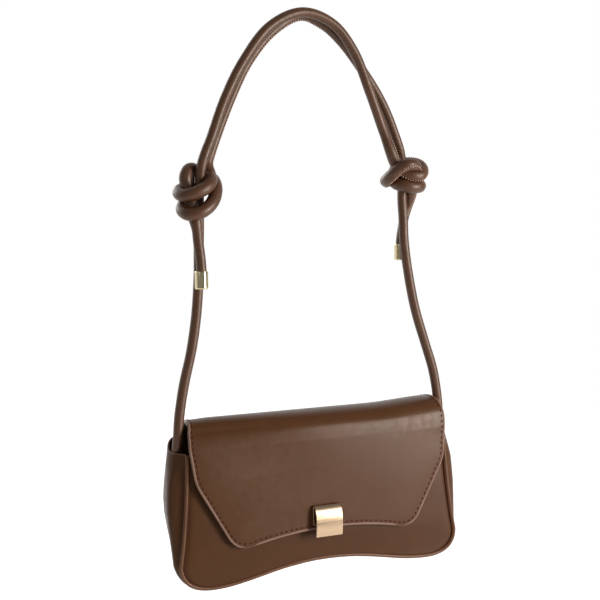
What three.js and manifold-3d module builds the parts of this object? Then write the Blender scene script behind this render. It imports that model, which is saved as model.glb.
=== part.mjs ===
// A small leather flap bag on a short strap of two cords, each knotted over the other.
// Millimetres, +Z up. The front faces -Y. In the bag's own group z is counted from its lowest point;
// the whole bag is then placed so that the origin is where a hook carries the strap.
import * as THREE from 'three';
import { mergeVertices } from 'three/addons/utils/BufferGeometryUtils.js';
import Module from 'manifold-3d';

const wasm = await Module();
wasm.setup();

// Driving dimensions of the body
const BASE_HALF_WIDTH = 125;
const SIDE_FLARE = 8.3;
const BODY_HEIGHT = 110;
const BASE_FRONT = 26;
const TOP_FRONT = 21;
const BASE_BACK = 2;
const TOP_BACK = 18;
const ARCH_RISE = 11.5;
const LOBE_INSET = 28;
const CORNER_HEIGHT = 22;
const SIDE_BULGE = 12;
const BASE_BULGE = 1;
const LEATHER = 1.6;
const CLOTH = 0.8;
const FIT_GAP = 0.3;
const PIPING_RADIUS = 1.5;
const PANEL_GAP = 0.6;

// Driving dimensions of the flap: its rise over the body, its drop, and where it stops short of the sides
const FLAP_RISE = 24.2;
const HINGE_RISE = 2.6;
const FOLD_RISE = 2;
const FLAP_SIDE_INSET = 4.5;
const FLAP_FLARE = 1.2;
const FLAP_BACK_INSET = 6.7;
const FLAP_SIDE_DROP = 25;
const FLAP_CORNER = { inset: 33.2, z: 30.1 };
const FLAP_MIDDLE_RISE = 7.4;
const FLAP_TIP = { run: 10, rise: 1.8 };

// Driving dimensions of the clasp and catch
const CLASP_WIDTH = 24;
const CLASP_TOP = 60.5;
const CLASP_BOTTOM = 32.5;
const CLASP_SHEET = 1.1;
const CLASP_ROLL = 1.2;
const CLASP_BOW = 7;
const CLASP_LIP = 5.2;
const CATCH_HEIGHT = 50;
const CATCH_RADIUS = 6;
const CUP_HEIGHT = 2.3;
const CUP_WALL = 0.8;
const MAGNET_GAP = 0.6;
const KEEPER_THICKNESS = 1;
const SCREW_RADIUS = 0.9;
const SCREW_HEAD_RADIUS = 1.7;
const SCREW_CLEARANCE = 0.7;

// Driving dimensions of the strap
const CORD_RADIUS = 4;
const CORD_SIDES = 10;
const STRAP_PLANE = -8;
const ANCHOR_RISE = 11.5;
const ANCHOR_CLEARANCE = 2.6;
const JOINT_GAP = 0.5;
const CAP_WALL = 1;
const CAP_LENGTH = 14;
const CAP_BORE_DEPTH = 10;
const HOOK_X = -7;
const HOOK_RISE = 329.5;

// Sizes that follow from them
const TOP_HALF_WIDTH = BASE_HALF_WIDTH - SIDE_FLARE;
const LOBE_X = BASE_HALF_WIDTH - LOBE_INSET;
const FLAP_TOP = BODY_HEIGHT + FLAP_RISE;
const HINGE_HEIGHT = BODY_HEIGHT + HINGE_RISE;
const FOLD_HEIGHT = BODY_HEIGHT + FOLD_RISE;
const FLAP_HALF_WIDTH = TOP_HALF_WIDTH - FLAP_SIDE_INSET;
const FLAP_BACK_HALF_WIDTH = TOP_HALF_WIDTH - FLAP_BACK_INSET;
const FLAP_BEND = FOLD_HEIGHT - FLAP_SIDE_DROP;
const SCREW_X = CATCH_RADIUS + SCREW_HEAD_RADIUS + SCREW_CLEARANCE;
const ANCHOR_X = TOP_HALF_WIDTH + SIDE_BULGE - LEATHER - CORD_RADIUS - ANCHOR_CLEARANCE;
const ANCHOR_HEIGHT = BODY_HEIGHT + ANCHOR_RISE;
const CAP_RADIUS = CORD_RADIUS + FIT_GAP + CAP_WALL;
const HOOK_SEAT = new THREE.Vector3(HOOK_X, STRAP_PLANE, ANCHOR_HEIGHT + HOOK_RISE);

// Depths below the flap's outer face, through the layers behind the clasp to the front panel's plane
const FLAP_BACK = LEATHER + FIT_GAP + CLOTH;
const KEEPER_FRONT = FLAP_BACK + FIT_GAP;
const KEEPER_BACK = KEEPER_FRONT + KEEPER_THICKNESS;
const FLAP_STANDOFF = KEEPER_BACK + MAGNET_GAP + CUP_HEIGHT + FIT_GAP - PANEL_GAP;

const leatherBrown = new THREE.MeshStandardMaterial({ color: 0x5f3f2f, roughness: 0.45, metalness: 0 });
const edgeBrown = new THREE.MeshStandardMaterial({ color: 0x6e4c3a, roughness: 0.5, metalness: 0 });
const cordBrown = new THREE.MeshStandardMaterial({ color: 0x5a3a2a, roughness: 0.45, metalness: 0 });
const liningCloth = new THREE.MeshStandardMaterial({ color: 0x33261f, roughness: 0.9, metalness: 0 });
const paleGold = new THREE.MeshStandardMaterial({ color: 0xd6bb8c, roughness: 0.3, metalness: 1 });
const steel = new THREE.MeshStandardMaterial({ color: 0xb9b7b2, roughness: 0.35, metalness: 1 });
const magnetGrey = new THREE.MeshStandardMaterial({ color: 0x4a4a4c, roughness: 0.6, metalness: 0.6 });

const bag = new THREE.Group();

function place(name, geometry, material) {
  const mesh = new THREE.Mesh(geometry, material);
  mesh.name = name;
  bag.add(mesh);
  return mesh;
}

// Boolean cuts and joins of closed geometries

function toSolid(geometry) {
  const bare = new THREE.BufferGeometry();
  bare.setAttribute('position', geometry.getAttribute('position').clone());
  if (geometry.index) bare.setIndex(geometry.index.clone());
  const welded = mergeVertices(bare, 1e-4);
  return new wasm.Manifold(new wasm.Mesh({
    numProp: 3,
    vertProperties: new Float32Array(welded.getAttribute('position').array),
    triVerts: new Uint32Array(welded.index.array),
  }));
}

function toGeometry(solid) {
  const mesh = solid.getMesh();
  const geometry = new THREE.BufferGeometry();
  geometry.setAttribute('position', new THREE.BufferAttribute(new Float32Array(mesh.vertProperties), 3));
  geometry.setIndex(new THREE.BufferAttribute(new Uint32Array(mesh.triVerts), 1));
  return geometry;
}

function drill(geometry, cutters) {
  return toGeometry(cutters.reduce((left, cutter) => left.subtract(toSolid(cutter)), toSolid(geometry)));
}

// A sheet of even thickness below a surface given as a function of (u, v), both from 0 to 1
function sheetSolid(surface, thickness, columns, rows) {
  const step = 1e-3;
  const normalAt = (u, v) => {
    const along = surface(Math.min(u + step, 1), v).sub(surface(Math.max(u - step, 0), v));
    const down = surface(u, Math.min(v + step, 1)).sub(surface(u, Math.max(v - step, 0)));
    return along.cross(down).normalize();
  };
  const positions = [];
  for (const depth of [0, thickness]) {
    for (let j = 0; j <= rows; j++) {
      for (let i = 0; i <= columns; i++) {
        const u = i / columns;
        const v = j / rows;
        positions.push(...surface(u, v).addScaledVector(normalAt(u, v), -depth).toArray());
      }
    }
  }
  const layer = (columns + 1) * (rows + 1);
  const at = (side, i, j) => side * layer + j * (columns + 1) + i;
  const index = [];
  const quad = (a, b, c, d) => index.push(a, b, c, a, c, d);
  for (let j = 0; j < rows; j++) {
    for (let i = 0; i < columns; i++) {
      quad(at(0, i, j), at(0, i + 1, j), at(0, i + 1, j + 1), at(0, i, j + 1));
      quad(at(1, i, j), at(1, i, j + 1), at(1, i + 1, j + 1), at(1, i + 1, j));
    }
    quad(at(0, 0, j), at(0, 0, j + 1), at(1, 0, j + 1), at(1, 0, j));
    quad(at(0, columns, j), at(1, columns, j), at(1, columns, j + 1), at(0, columns, j + 1));
  }
  for (let i = 0; i < columns; i++) {
    quad(at(0, i, 0), at(1, i, 0), at(1, i + 1, 0), at(0, i + 1, 0));
    quad(at(0, i, rows), at(0, i + 1, rows), at(1, i + 1, rows), at(1, i, rows));
  }
  const geometry = new THREE.BufferGeometry();
  geometry.setAttribute('position', new THREE.Float32BufferAttribute(positions, 3));
  geometry.setIndex(index);
  return geometry;
}

// The body: panels, gusset, piping and lining, all from one outline

const faceAt = (side, z) => (side < 0
  ? -THREE.MathUtils.lerp(BASE_FRONT, TOP_FRONT, z / BODY_HEIGHT)
  : THREE.MathUtils.lerp(BASE_BACK, TOP_BACK, z / BODY_HEIGHT));

// The open edge of a panel, from its top left corner round the bottom to its top right corner
function panelEdge(inset) {
  const top = new THREE.Vector2(TOP_HALF_WIDTH - inset, BODY_HEIGHT - inset);
  const corner = new THREE.Vector2(BASE_HALF_WIDTH - inset, CORNER_HEIGHT);
  const lobe = new THREE.Vector2(LOBE_X - inset / 2, inset);
  const waist = new THREE.Vector2(TOP_HALF_WIDTH + 2.3 - inset, BODY_HEIGHT / 2);
  const crown = ARCH_RISE + inset;
  const edge = new THREE.Path();
  edge.moveTo(-top.x, top.y);
  edge.quadraticCurveTo(-waist.x, waist.y, -corner.x, corner.y);
  edge.bezierCurveTo(-corner.x, 8 + inset, -lobe.x - 19, lobe.y, -lobe.x, lobe.y);
  edge.bezierCurveTo(-0.68 * lobe.x, lobe.y, -0.45 * lobe.x, crown, 0, crown);
  edge.bezierCurveTo(0.45 * lobe.x, crown, 0.68 * lobe.x, lobe.y, lobe.x, lobe.y);
  edge.bezierCurveTo(lobe.x + 19, lobe.y, corner.x, 8 + inset, corner.x, corner.y);
  edge.quadraticCurveTo(waist.x, waist.y, top.x, top.y);
  return edge;
}

// A flat panel with that edge, leaning with the bag's depth; side is -1 at the front and 1 at the back
function panelSheet(side, inset, outerGap, thickness, holes = []) {
  const shape = new THREE.Shape(panelEdge(inset).getPoints(9));
  for (const hole of holes) shape.holes.push(hole);
  const settings = { depth: thickness, bevelEnabled: false, curveSegments: 8 };
  const geometry = new THREE.ExtrudeGeometry(shape, settings);
  const position = geometry.getAttribute('position');
  for (let i = 0; i < position.count; i++) {
    const z = position.getY(i);
    const fromFace = side < 0 ? outerGap + thickness - position.getZ(i) : outerGap + position.getZ(i);
    position.setXYZ(i, position.getX(i), faceAt(side, z) - side * fromFace, z);
  }
  return geometry;
}

// A band across the bag's depth that follows the panel edge and bulges outward half way back
function gussetBand(inset, frontGap, backGap, thickness, sideBulge, baseBulge, columns, rows) {
  const edge = panelEdge(inset);
  const band = (u, v) => {
    const p = edge.getPointAt(v);
    const t = edge.getTangentAt(v);
    const outward = new THREE.Vector2(t.y, -t.x);
    const front = faceAt(-1, p.y) + frontGap;
    const back = faceAt(1, p.y) - backGap;
    const across = 2 * u - 1;
    const rise = THREE.MathUtils.smoothstep(p.y, 0, 0.7 * BODY_HEIGHT);
    const bulge = THREE.MathUtils.lerp(baseBulge, sideBulge, rise) * (1 - across ** 4);
    return new THREE.Vector3(
      p.x + bulge * outward.x,
      THREE.MathUtils.lerp(front, back, u),
      p.y + bulge * outward.y,
    );
  };
  return sheetSolid(band, thickness, columns, rows);
}

const PIPING_STEPS = 72;

function pipingRoute(side) {
  const edge = panelEdge(PIPING_RADIUS);
  return edge.getSpacedPoints(PIPING_STEPS).map((p) => (
    new THREE.Vector3(p.x, faceAt(side, p.y) - side * PIPING_RADIUS, p.y)
  ));
}

const PANEL_INSET = 2 * PIPING_RADIUS + FIT_GAP;
const PANEL_BACK = PANEL_GAP + LEATHER;
const FRONT_LINING_GAP = PANEL_BACK + 1.4;
const BACK_LINING_GAP = PANEL_BACK + FIT_GAP;
const LINING_INSET = 5;

const catchHole = new THREE.Path();
catchHole.absarc(0, CATCH_HEIGHT, 2 + FIT_GAP, 0, 2 * Math.PI);

place('front_panel', panelSheet(-1, PANEL_INSET, PANEL_GAP, LEATHER, [catchHole]), leatherBrown);
place('back_panel', panelSheet(1, PANEL_INSET, PANEL_GAP, LEATHER), leatherBrown);
const gussetGap = 2 * PIPING_RADIUS + FIT_GAP;
place('gusset', gussetBand(1, gussetGap, gussetGap, LEATHER, SIDE_BULGE, BASE_BULGE, 8, 64), leatherBrown);
place('lining_front', panelSheet(-1, LINING_INSET, FRONT_LINING_GAP, CLOTH), liningCloth);
place('lining_back', panelSheet(1, LINING_INSET, BACK_LINING_GAP, CLOTH), liningCloth);
const liningBand = gussetBand(
  LINING_INSET,
  FRONT_LINING_GAP + CLOTH + FIT_GAP,
  BACK_LINING_GAP + CLOTH + FIT_GAP,
  CLOTH, 0, 0, 2, 56,
);
place('lining_gusset', liningBand, liningCloth);

// Cords of every kind: a round section along a route

const roundSection = (radius, sides) => new THREE.Shape(Array.from({ length: sides }, (_, k) => {
  const angle = (2 * Math.PI * k) / sides;
  return new THREE.Vector2(radius * Math.cos(angle), radius * Math.sin(angle));
}));

const tube = (route, radius, sides, steps) => new THREE.ExtrudeGeometry(roundSection(radius, sides), {
  steps,
  extrudePath: route,
  bevelEnabled: false,
});

for (const [name, side] of [['front_piping', -1], ['back_piping', 1]]) {
  const route = new THREE.CatmullRomCurve3(pipingRoute(side), false, 'centripetal');
  place(name, tube(route, PIPING_RADIUS, 6, PIPING_STEPS), edgeBrown);
}

// The flap: a domed top from the hinge to the front fold, then the shaped drop over the front

const frontFace = (z) => faceAt(-1, z) - FLAP_STANDOFF;
const rootFace = (z) => faceAt(1, z) - PANEL_GAP + FIT_GAP + LEATHER;

// Points of the top as (share of the way from back to front, height)
const flapTop = new THREE.CatmullRomCurve3([
  [0, HINGE_HEIGHT + FIT_GAP], [0.014, HINGE_HEIGHT + 7], [0.14, FLAP_TOP - 6], [0.348, FLAP_TOP - 1.2],
  [0.595, FLAP_TOP], [0.812, FLAP_TOP - 3], [0.951, FLAP_TOP - 10.5], [1, FOLD_HEIGHT],
].map(([share, z]) => (
  new THREE.Vector3(0, THREE.MathUtils.lerp(rootFace(BODY_HEIGHT) + 0.8, frontFace(FOLD_HEIGHT), share), z)
)), false, 'centripetal');

// The rounded tip climbs less steeply than the lower edge that it runs into, however wide the flap is
const TIP_SHARE = 0.84;
const lowerEdgeSlope = 2 * FLAP_MIDDLE_RISE / (FLAP_HALF_WIDTH - FLAP_CORNER.inset - FLAP_TIP.run);
const tipRise = Math.min(FLAP_TIP.rise, TIP_SHARE * lowerEdgeSlope * FLAP_TIP.run);

// Half of the drop's outline as (x, z): side, diagonal and rounded corner
function dropEdge(inset) {
  const x = FLAP_HALF_WIDTH - inset;
  const corner = new THREE.Vector2(FLAP_HALF_WIDTH - FLAP_CORNER.inset - inset, FLAP_CORNER.z + inset);
  const edge = new THREE.Path();
  edge.moveTo(x + FLAP_FLARE, FOLD_HEIGHT);
  edge.lineTo(x, FLAP_BEND + 9);
  edge.quadraticCurveTo(x, FLAP_BEND, x - 5, FLAP_BEND - 8.5);
  edge.lineTo(corner.x + 5, corner.y + 8);
  edge.quadraticCurveTo(corner.x, corner.y, corner.x - FLAP_TIP.run, corner.y + tipRise);
  return edge;
}

const FLAP_TOP_ROWS = 14;
const FLAP_ROWS = 30;

function flapSurface(inset) {
  const edge = dropEdge(inset);
  const split = FLAP_TOP_ROWS / FLAP_ROWS;
  return (u, v) => {
    const across = 1 - 2 * u;
    if (v <= split) {
      const p = flapTop.getPointAt(THREE.MathUtils.lerp(inset / flapTop.getLength(), 1, v / split));
      const widen = THREE.MathUtils.smoothstep(v / split, 0, 0.6);
      const half = THREE.MathUtils.lerp(FLAP_BACK_HALF_WIDTH, FLAP_HALF_WIDTH + FLAP_FLARE, widen) - inset;
      return new THREE.Vector3(half * across, p.y, p.z);
    }
    const down = (v - split) / (1 - split);
    const p = edge.getPointAt(down);
    const middle = THREE.MathUtils.lerp(FOLD_HEIGHT, edge.getPointAt(1).y + FLAP_MIDDLE_RISE, down);
    const z = THREE.MathUtils.lerp(middle, p.y, across * across);
    return new THREE.Vector3(p.x * across, frontFace(z), z);
  };
}

// Moves a surface inward along its normal, for the layers below it
function below(surface, distance) {
  const step = 1e-3;
  return (u, v) => {
    const along = surface(Math.min(u + step, 1), v).sub(surface(Math.max(u - step, 0), v));
    const down = surface(u, Math.min(v + step, 1)).sub(surface(u, Math.max(v - step, 0)));
    return surface(u, v).addScaledVector(along.cross(down).normalize(), -distance);
  };
}

// The flap's front leans with the front panel; the clasp and catch lean with it
const LEAN = Math.atan((BASE_FRONT - TOP_FRONT) / BODY_HEIGHT);

// A cylinder square to the front, its axis through (x, height), between two depths below the flap's face
function frontCylinder(x, height, radius, from, to, sides) {
  const geometry = new THREE.CylinderGeometry(radius, radius, to - from, sides);
  geometry.translate(0, (from + to) / 2, 0);
  geometry.rotateX(-LEAN);
  geometry.translate(x, frontFace(height), height);
  return geometry;
}

const screwHoles = [-1, 1].map((side) => (
  frontCylinder(side * SCREW_X, CATCH_HEIGHT, SCREW_RADIUS + FIT_GAP, -3, 6, 12)
));
const leatherLayer = sheetSolid(flapSurface(0), LEATHER, 16, FLAP_ROWS);
place('flap_leather', drill(leatherLayer, screwHoles), leatherBrown);
const liningSurface = below(flapSurface(1.2), LEATHER + FIT_GAP);
place('flap_lining', drill(sheetSolid(liningSurface, CLOTH, 10, FLAP_ROWS), screwHoles), liningCloth);

// The flap's root, sewn flat on the back panel below the hinge
const ROOT_DROP = 18;
const rootStrip = (u, v) => {
  const z = HINGE_HEIGHT - FIT_GAP - ROOT_DROP * v;
  const half = FLAP_BACK_HALF_WIDTH - 3 * v * v;
  return new THREE.Vector3(half * (2 * u - 1), rootFace(z), z);
};
place('flap_root', sheetSolid(rootStrip, LEATHER, 8, 3), leatherBrown);

// The clasp: one strip of metal, flat on the flap, rolled over at the top and hanging free in front

function ribbon(curve, thickness, steps) {
  const sideOf = (sign) => Array.from({ length: steps + 1 }, (_, k) => {
    const p = curve.getPointAt(k / steps);
    const t = curve.getTangentAt(k / steps);
    return new THREE.Vector2(p.x - (sign * t.y * thickness) / 2, p.y + (sign * t.x * thickness) / 2);
  });
  return new THREE.Shape([...sideOf(1), ...sideOf(-1).reverse()]);
}

function claspPlate() {
  const seat = FIT_GAP + CLASP_SHEET / 2;
  const rollCentre = CLASP_TOP - CLASP_SHEET / 2 - CLASP_ROLL;
  const turned = CLASP_ROLL * Math.SQRT1_2;
  const top = new THREE.Vector2(seat + CLASP_ROLL + turned, rollCentre + turned);
  const path = new THREE.Path();
  path.moveTo(seat, 43);
  path.lineTo(seat, rollCentre);
  path.absarc(seat + CLASP_ROLL, rollCentre, CLASP_ROLL, Math.PI, Math.PI / 4, true);
  path.bezierCurveTo(top.x + 3.5, top.y - 3.5, CLASP_BOW, CLASP_BOTTOM + 12.5, CLASP_LIP, CLASP_BOTTOM);
  const profile = ribbon(path, CLASP_SHEET, 64);
  const geometry = new THREE.ExtrudeGeometry(profile, { depth: CLASP_WIDTH, bevelEnabled: false });
  geometry.translate(0, -CATCH_HEIGHT, -CLASP_WIDTH / 2);
  geometry.rotateX(Math.PI / 2);
  geometry.rotateZ(-Math.PI / 2);
  geometry.rotateX(-LEAN);
  geometry.translate(0, frontFace(CATCH_HEIGHT), CATCH_HEIGHT);
  return geometry;
}
place('clasp_plate', drill(claspPlate(), screwHoles), paleGold);

const keeper = new THREE.BoxGeometry(2 * (SCREW_X + 2.6), KEEPER_THICKNESS, 2 * (CATCH_RADIUS + 1));
keeper.translate(0, (KEEPER_FRONT + KEEPER_BACK) / 2, 0);
keeper.rotateX(-LEAN);
keeper.translate(0, frontFace(CATCH_HEIGHT), CATCH_HEIGHT);
place('clasp_keeper', drill(keeper, screwHoles), steel);

for (const [name, side] of [['left_clasp_screw', -1], ['right_clasp_screw', 1]]) {
  const shank = frontCylinder(side * SCREW_X, CATCH_HEIGHT, SCREW_RADIUS, -1.3, KEEPER_BACK + 0.5, 10);
  const headFront = KEEPER_BACK + FIT_GAP / 2;
  const headBack = headFront + 0.65;
  const head = frontCylinder(side * SCREW_X, CATCH_HEIGHT, SCREW_HEAD_RADIUS, headFront, headBack, 14);
  place(name, toGeometry(toSolid(shank).add(toSolid(head))), steel);
}

// The catch on the front panel: a cup with a post through the leather, its magnet, and a washer inside

// Profiles are (radius, depth into the bag), listed from the inside of the bag outward
function frontLathe(points, sides) {
  const profile = points.map(([r, depth]) => new THREE.Vector2(r, depth)).reverse();
  const geometry = new THREE.LatheGeometry(profile, sides);
  geometry.rotateX(-LEAN);
  geometry.translate(0, faceAt(-1, CATCH_HEIGHT) + PANEL_GAP, CATCH_HEIGHT);
  return geometry;
}

const WASHER_BACK = LEATHER + FIT_GAP + 0.6;
const cupProfile = [
  [0, WASHER_BACK], [2, WASHER_BACK], [2, -FIT_GAP], [CATCH_RADIUS, -FIT_GAP],
  [CATCH_RADIUS, -FIT_GAP - CUP_HEIGHT], [CATCH_RADIUS - CUP_WALL, -FIT_GAP - CUP_HEIGHT],
  [CATCH_RADIUS - CUP_WALL, -FIT_GAP - CUP_WALL], [0, -FIT_GAP - CUP_WALL],
];
place('catch_cup', frontLathe(cupProfile, 24), paleGold);
const magnetRadius = CATCH_RADIUS - CUP_WALL - FIT_GAP;
const magnetBack = -2 * FIT_GAP - CUP_WALL;
const magnetProfile = [
  [0, magnetBack], [magnetRadius, magnetBack], [magnetRadius, magnetBack - 1], [0, magnetBack - 1],
];
place('catch_magnet', frontLathe(magnetProfile, 24), magnetGrey);
const washerFront = LEATHER + FIT_GAP;
const washerProfile = [
  [2 + FIT_GAP, washerFront], [2 + FIT_GAP, WASHER_BACK], [CATCH_RADIUS, WASHER_BACK],
  [CATCH_RADIUS, washerFront], [2 + FIT_GAP, washerFront],
];
place('catch_washer', frontLathe(washerProfile, 20), steel);

// The strap. Each cord starts in the gusset, passes through the other cord's knot, arches over,
// knots round the other cord and ends in a metal cap. Knot points are (across, up, towards the front),
// counted from the knot's middle and turned to the knot's own facing.

const KNOT_TURN = THREE.MathUtils.degToRad(-26);

function knotPoints(middle, points) {
  return points.map(([across, up, front]) => new THREE.Vector3(across, -front, up)
    .applyAxisAngle(new THREE.Vector3(0, 0, 1), KNOT_TURN)
    .add(middle));
}

// Points of a cord outside its knots are (x, rise above the anchors) in one plane, or (x, y, rise).
// Those at a leg's foot are (inward from the anchor, rise), so that they keep beside the flap.
const strand = (y, points) => points.map(([x, rise]) => new THREE.Vector3(x, y, ANCHOR_HEIGHT + rise));
const foot = (side, points) => strand(STRAP_PLANE, points.map(([inward, rise]) => (
  [side * (ANCHOR_X - inward), rise]
)));
const loose = (points) => points.map(([x, y, rise]) => new THREE.Vector3(x, y, ANCHOR_HEIGHT + rise));
const LEFT_KNOT = new THREE.Vector3(-102, STRAP_PLANE, ANCHOR_HEIGHT + 193.5);
const RIGHT_KNOT = new THREE.Vector3(88.4, STRAP_PLANE, ANCHOR_HEIGHT + 206.2);
const FRONT_STRAND = STRAP_PLANE - 4.3;
const REAR_STRAND = STRAP_PLANE + 4.3;

const leftLegPoints = [
  ...foot(-1, [[0, 0], [0.5, 16.5], [4, 40.5]]),
  ...strand(STRAP_PLANE, [[-109.5, 68.5], [-104.5, 95.5], [-101.5, 123.5]]),
];
const leftCorePoints = knotPoints(LEFT_KNOT, [[1.8, -42, -1], [2.2, -28, -1], [3, 0, 0], [5.6, 20, 1.7]]);
const frontArchPoints = strand(FRONT_STRAND, [
  [-89, 235.5], [-78, 263.5], [-61, 294.5], [-37, 323], [-8, 335.1], [19, 327], [38, 305.5], [52, 274.5],
]);
const rightKnotPoints = knotPoints(RIGHT_KNOT, [
  [-19, 36, 11], [-12.5, 18, 10.5], [-8, 7.5, 8.5], [-2, 0.5, 9], [6, -4.5, 9], [13.5, -5.5, 6],
  [17.5, -1.5, -1.5], [15.5, 5.5, -7.5], [8, 10.5, -10.5], [-1, 10, -12], [-8.5, 4.5, -8.5],
  [-10.5, -4, -2.5], [-9, -10.5, 5], [-1, -13, 10], [8, -14.5, 8], [15.5, -14, 2], [16.5, -12.5, -7],
  [8, -9, -14], [-2, -5.5, -18], [-12.5, -5, -13.5], [-19, -6, -4.5], [-18.5, -5.5, 5.5], [-11, -3, 14],
  [-2.5, 2.5, 18.5], [5, 5.5, 16.5], [9.5, 5, 10], [8.5, 1, 1.5], [8, -7, -3], [7, -14, -4.5], [7, -24, -8],
]);
const rightTailPoints = loose([[97, -1, 170.5], [93.5, 1.2, 158.5], [90, 2.6, 148.5], [89, 3, 137]]);

const rightLegPoints = [
  ...foot(1, [[0, 0], [-0.3, 16.5], [3, 38.5]]),
  ...strand(STRAP_PLANE, [[109.5, 60.5], [98.5, 90.5], [92, 120.5], [88, 148.5]]),
];
const rightCorePoints = knotPoints(RIGHT_KNOT, [
  [-0.6, -36, 0.3], [-0.6, -22, 0.3], [-2.5, 5, -0.5], [-3.9, 18.9, -2.5],
]);
const rearArchPoints = strand(REAR_STRAND, [
  [81, 239.5], [70, 263.5], [53, 288.5], [31, 314.5], [11, 329.5], [-7, 333.5], [-31, 320.5], [-53, 295.5],
  [-71, 261.5],
]);
const leftKnotPoints = knotPoints(LEFT_KNOT, [
  [12.5, 31.5, -10.5], [9, 20.5, -9], [10, 12, -6.5], [12.5, 4.5, 1.5], [9, 0.5, 9.5], [1, -2.5, 14],
  [-7.5, -3.5, 13.5], [-14.5, -2, 7.5], [-16, 0, -1], [-10.5, 1, -8], [-2, 1, -11.5], [6, 4, -15.5],
  [13.5, 7, -14], [19, 5.5, -7.5], [19, -1.5, -0.5], [17, -9, 5], [11.5, -15, 11], [3.5, -18, 15.5],
  [-5, -17.5, 15.5], [-12, -14.5, 9.5], [-14, -12, 1.5], [-11, -11.5, -6.5], [-6, -9, -15], [-2.5, 2, -21],
  [-2, 12, -17.5], [-1.5, 17.5, -10], [-5.5, 18, -1.5], [-9, 12.5, 2], [-7.5, 3, 2], [-4.5, -7, 5],
  [-1.5, -17, 7], [1, -28, 9],
]);
const leftTailPoints = loose([[-104, -17, 153.5], [-102.4, -18.2, 135.5], [-102.4, -18.6, 120.5]]);

function cordRoute(points) {
  const route = new THREE.CatmullRomCurve3(points, false, 'centripetal');
  route.arcLengthDivisions = 2000;
  return route;
}

const leftCord = cordRoute([
  ...leftLegPoints, ...leftCorePoints, ...frontArchPoints, ...rightKnotPoints, ...rightTailPoints,
]);
const rightCord = cordRoute([
  ...rightLegPoints, ...rightCorePoints, ...rearArchPoints, ...leftKnotPoints, ...leftTailPoints,
]);

// How far along a route its nearest point to a given one lies, looked for between two lengths
function lengthNear(route, point, from = 0, to = route.getLength()) {
  let best = from;
  let least = Infinity;
  for (let s = from; s <= to; s += 0.5) {
    const distance = route.getPointAt(s / route.getLength()).distanceTo(point);
    if (distance < least) {
      least = distance;
      best = s;
    }
  }
  return best;
}

class Stretch extends THREE.Curve {
  constructor(route, from, to) {
    super();
    this.route = route;
    this.from = from / route.getLength();
    this.to = to / route.getLength();
  }

  getPoint(t, target) {
    return this.route.getPointAt(THREE.MathUtils.lerp(this.from, this.to, t), target);
  }
}

const stretchTube = (route, from, to, steps) => (
  tube(new Stretch(route, from, to), CORD_RADIUS, CORD_SIDES, steps)
);

function ball(centre) {
  const geometry = new THREE.SphereGeometry(CORD_RADIUS - 0.05, 12, 8);
  geometry.translate(...centre.toArray());
  return geometry;
}

const pointAt = (route, length) => route.getPointAt(length / route.getLength());

// Cuts one cord into its leg, arch, knot and tail; the leg and tail end in a ball where they turn
function layCord(route, marks, names) {
  const length = route.getLength();
  const archStart = lengthNear(route, marks.archStart);
  const knotStart = lengthNear(route, marks.knotStart, archStart);
  const tailPivot = lengthNear(route, marks.tailPivot, knotStart + 60);
  const knotEnd = tailPivot - CORD_RADIUS - JOINT_GAP;
  const leg = stretchTube(route, 0, archStart - FIT_GAP, 22);
  const legBall = ball(pointAt(route, 0));
  place(names.leg, toGeometry(toSolid(leg).add(toSolid(legBall))), cordBrown);
  place(names.arch, stretchTube(route, archStart, knotStart - FIT_GAP, 34), cordBrown);
  place(names.knot, stretchTube(route, knotStart, knotEnd, 84), cordBrown);
  const tail = stretchTube(route, tailPivot, length, 8);
  const tailBall = ball(pointAt(route, tailPivot));
  place(names.tail, toGeometry(toSolid(tail).add(toSolid(tailBall))), cordBrown);
  const lengths = {
    leg: archStart,
    arch: knotStart - archStart,
    knot: knotEnd - knotStart,
    tail: length - tailPivot,
  };
  const pivot = pointAt(route, tailPivot).toArray().map((c) => c.toFixed(1)).join(' ');
  for (const [key, value] of Object.entries(lengths)) console.log(`${names[key]}: ${value.toFixed(0)} mm`);
  console.log(`${names.tail} turns about ${pivot}`);
  return { archStart, knotStart, knotEnd, tailPivot, length };
}

const leftLay = layCord(leftCord, {
  archStart: frontArchPoints[0], knotStart: rightKnotPoints[1], tailPivot: rightKnotPoints.at(-1),
}, { leg: 'left_leg_cord', arch: 'front_arch_cord', knot: 'right_knot', tail: 'right_tail_cord' });
const rightLay = layCord(rightCord, {
  archStart: rearArchPoints[0], knotStart: leftKnotPoints[1], tailPivot: leftKnotPoints.at(-1),
}, { leg: 'right_leg_cord', arch: 'rear_arch_cord', knot: 'left_knot', tail: 'left_tail_cord' });

// Least gap of a knot to itself and to the cord that it is tied round
function leastGap(route, from, to, other) {
  const sample = (curve, a, b, step) => Array.from({ length: Math.floor((b - a) / step) + 1 }, (_, k) => (
    pointAt(curve, a + k * step)
  ));
  const own = sample(route, from, to, 1.5);
  const core = sample(other, 0, other.getLength(), 1.5);
  let self = Infinity;
  let toCore = Infinity;
  own.forEach((p, i) => {
    own.slice(i + 12).forEach((q) => {
      self = Math.min(self, p.distanceTo(q));
    });
    core.forEach((q) => {
      toCore = Math.min(toCore, p.distanceTo(q));
    });
  });
  const [ownGap, coreGap] = [self, toCore].map((distance) => (distance - 2 * CORD_RADIUS).toFixed(2));
  return `to itself ${ownGap} mm, to the other cord ${coreGap} mm`;
}
console.log(`right knot, least gap ${leastGap(leftCord, leftLay.knotStart, leftLay.length, rightCord)}`);
console.log(`left knot, least gap ${leastGap(rightCord, rightLay.knotStart, rightLay.length, leftCord)}`);

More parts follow.
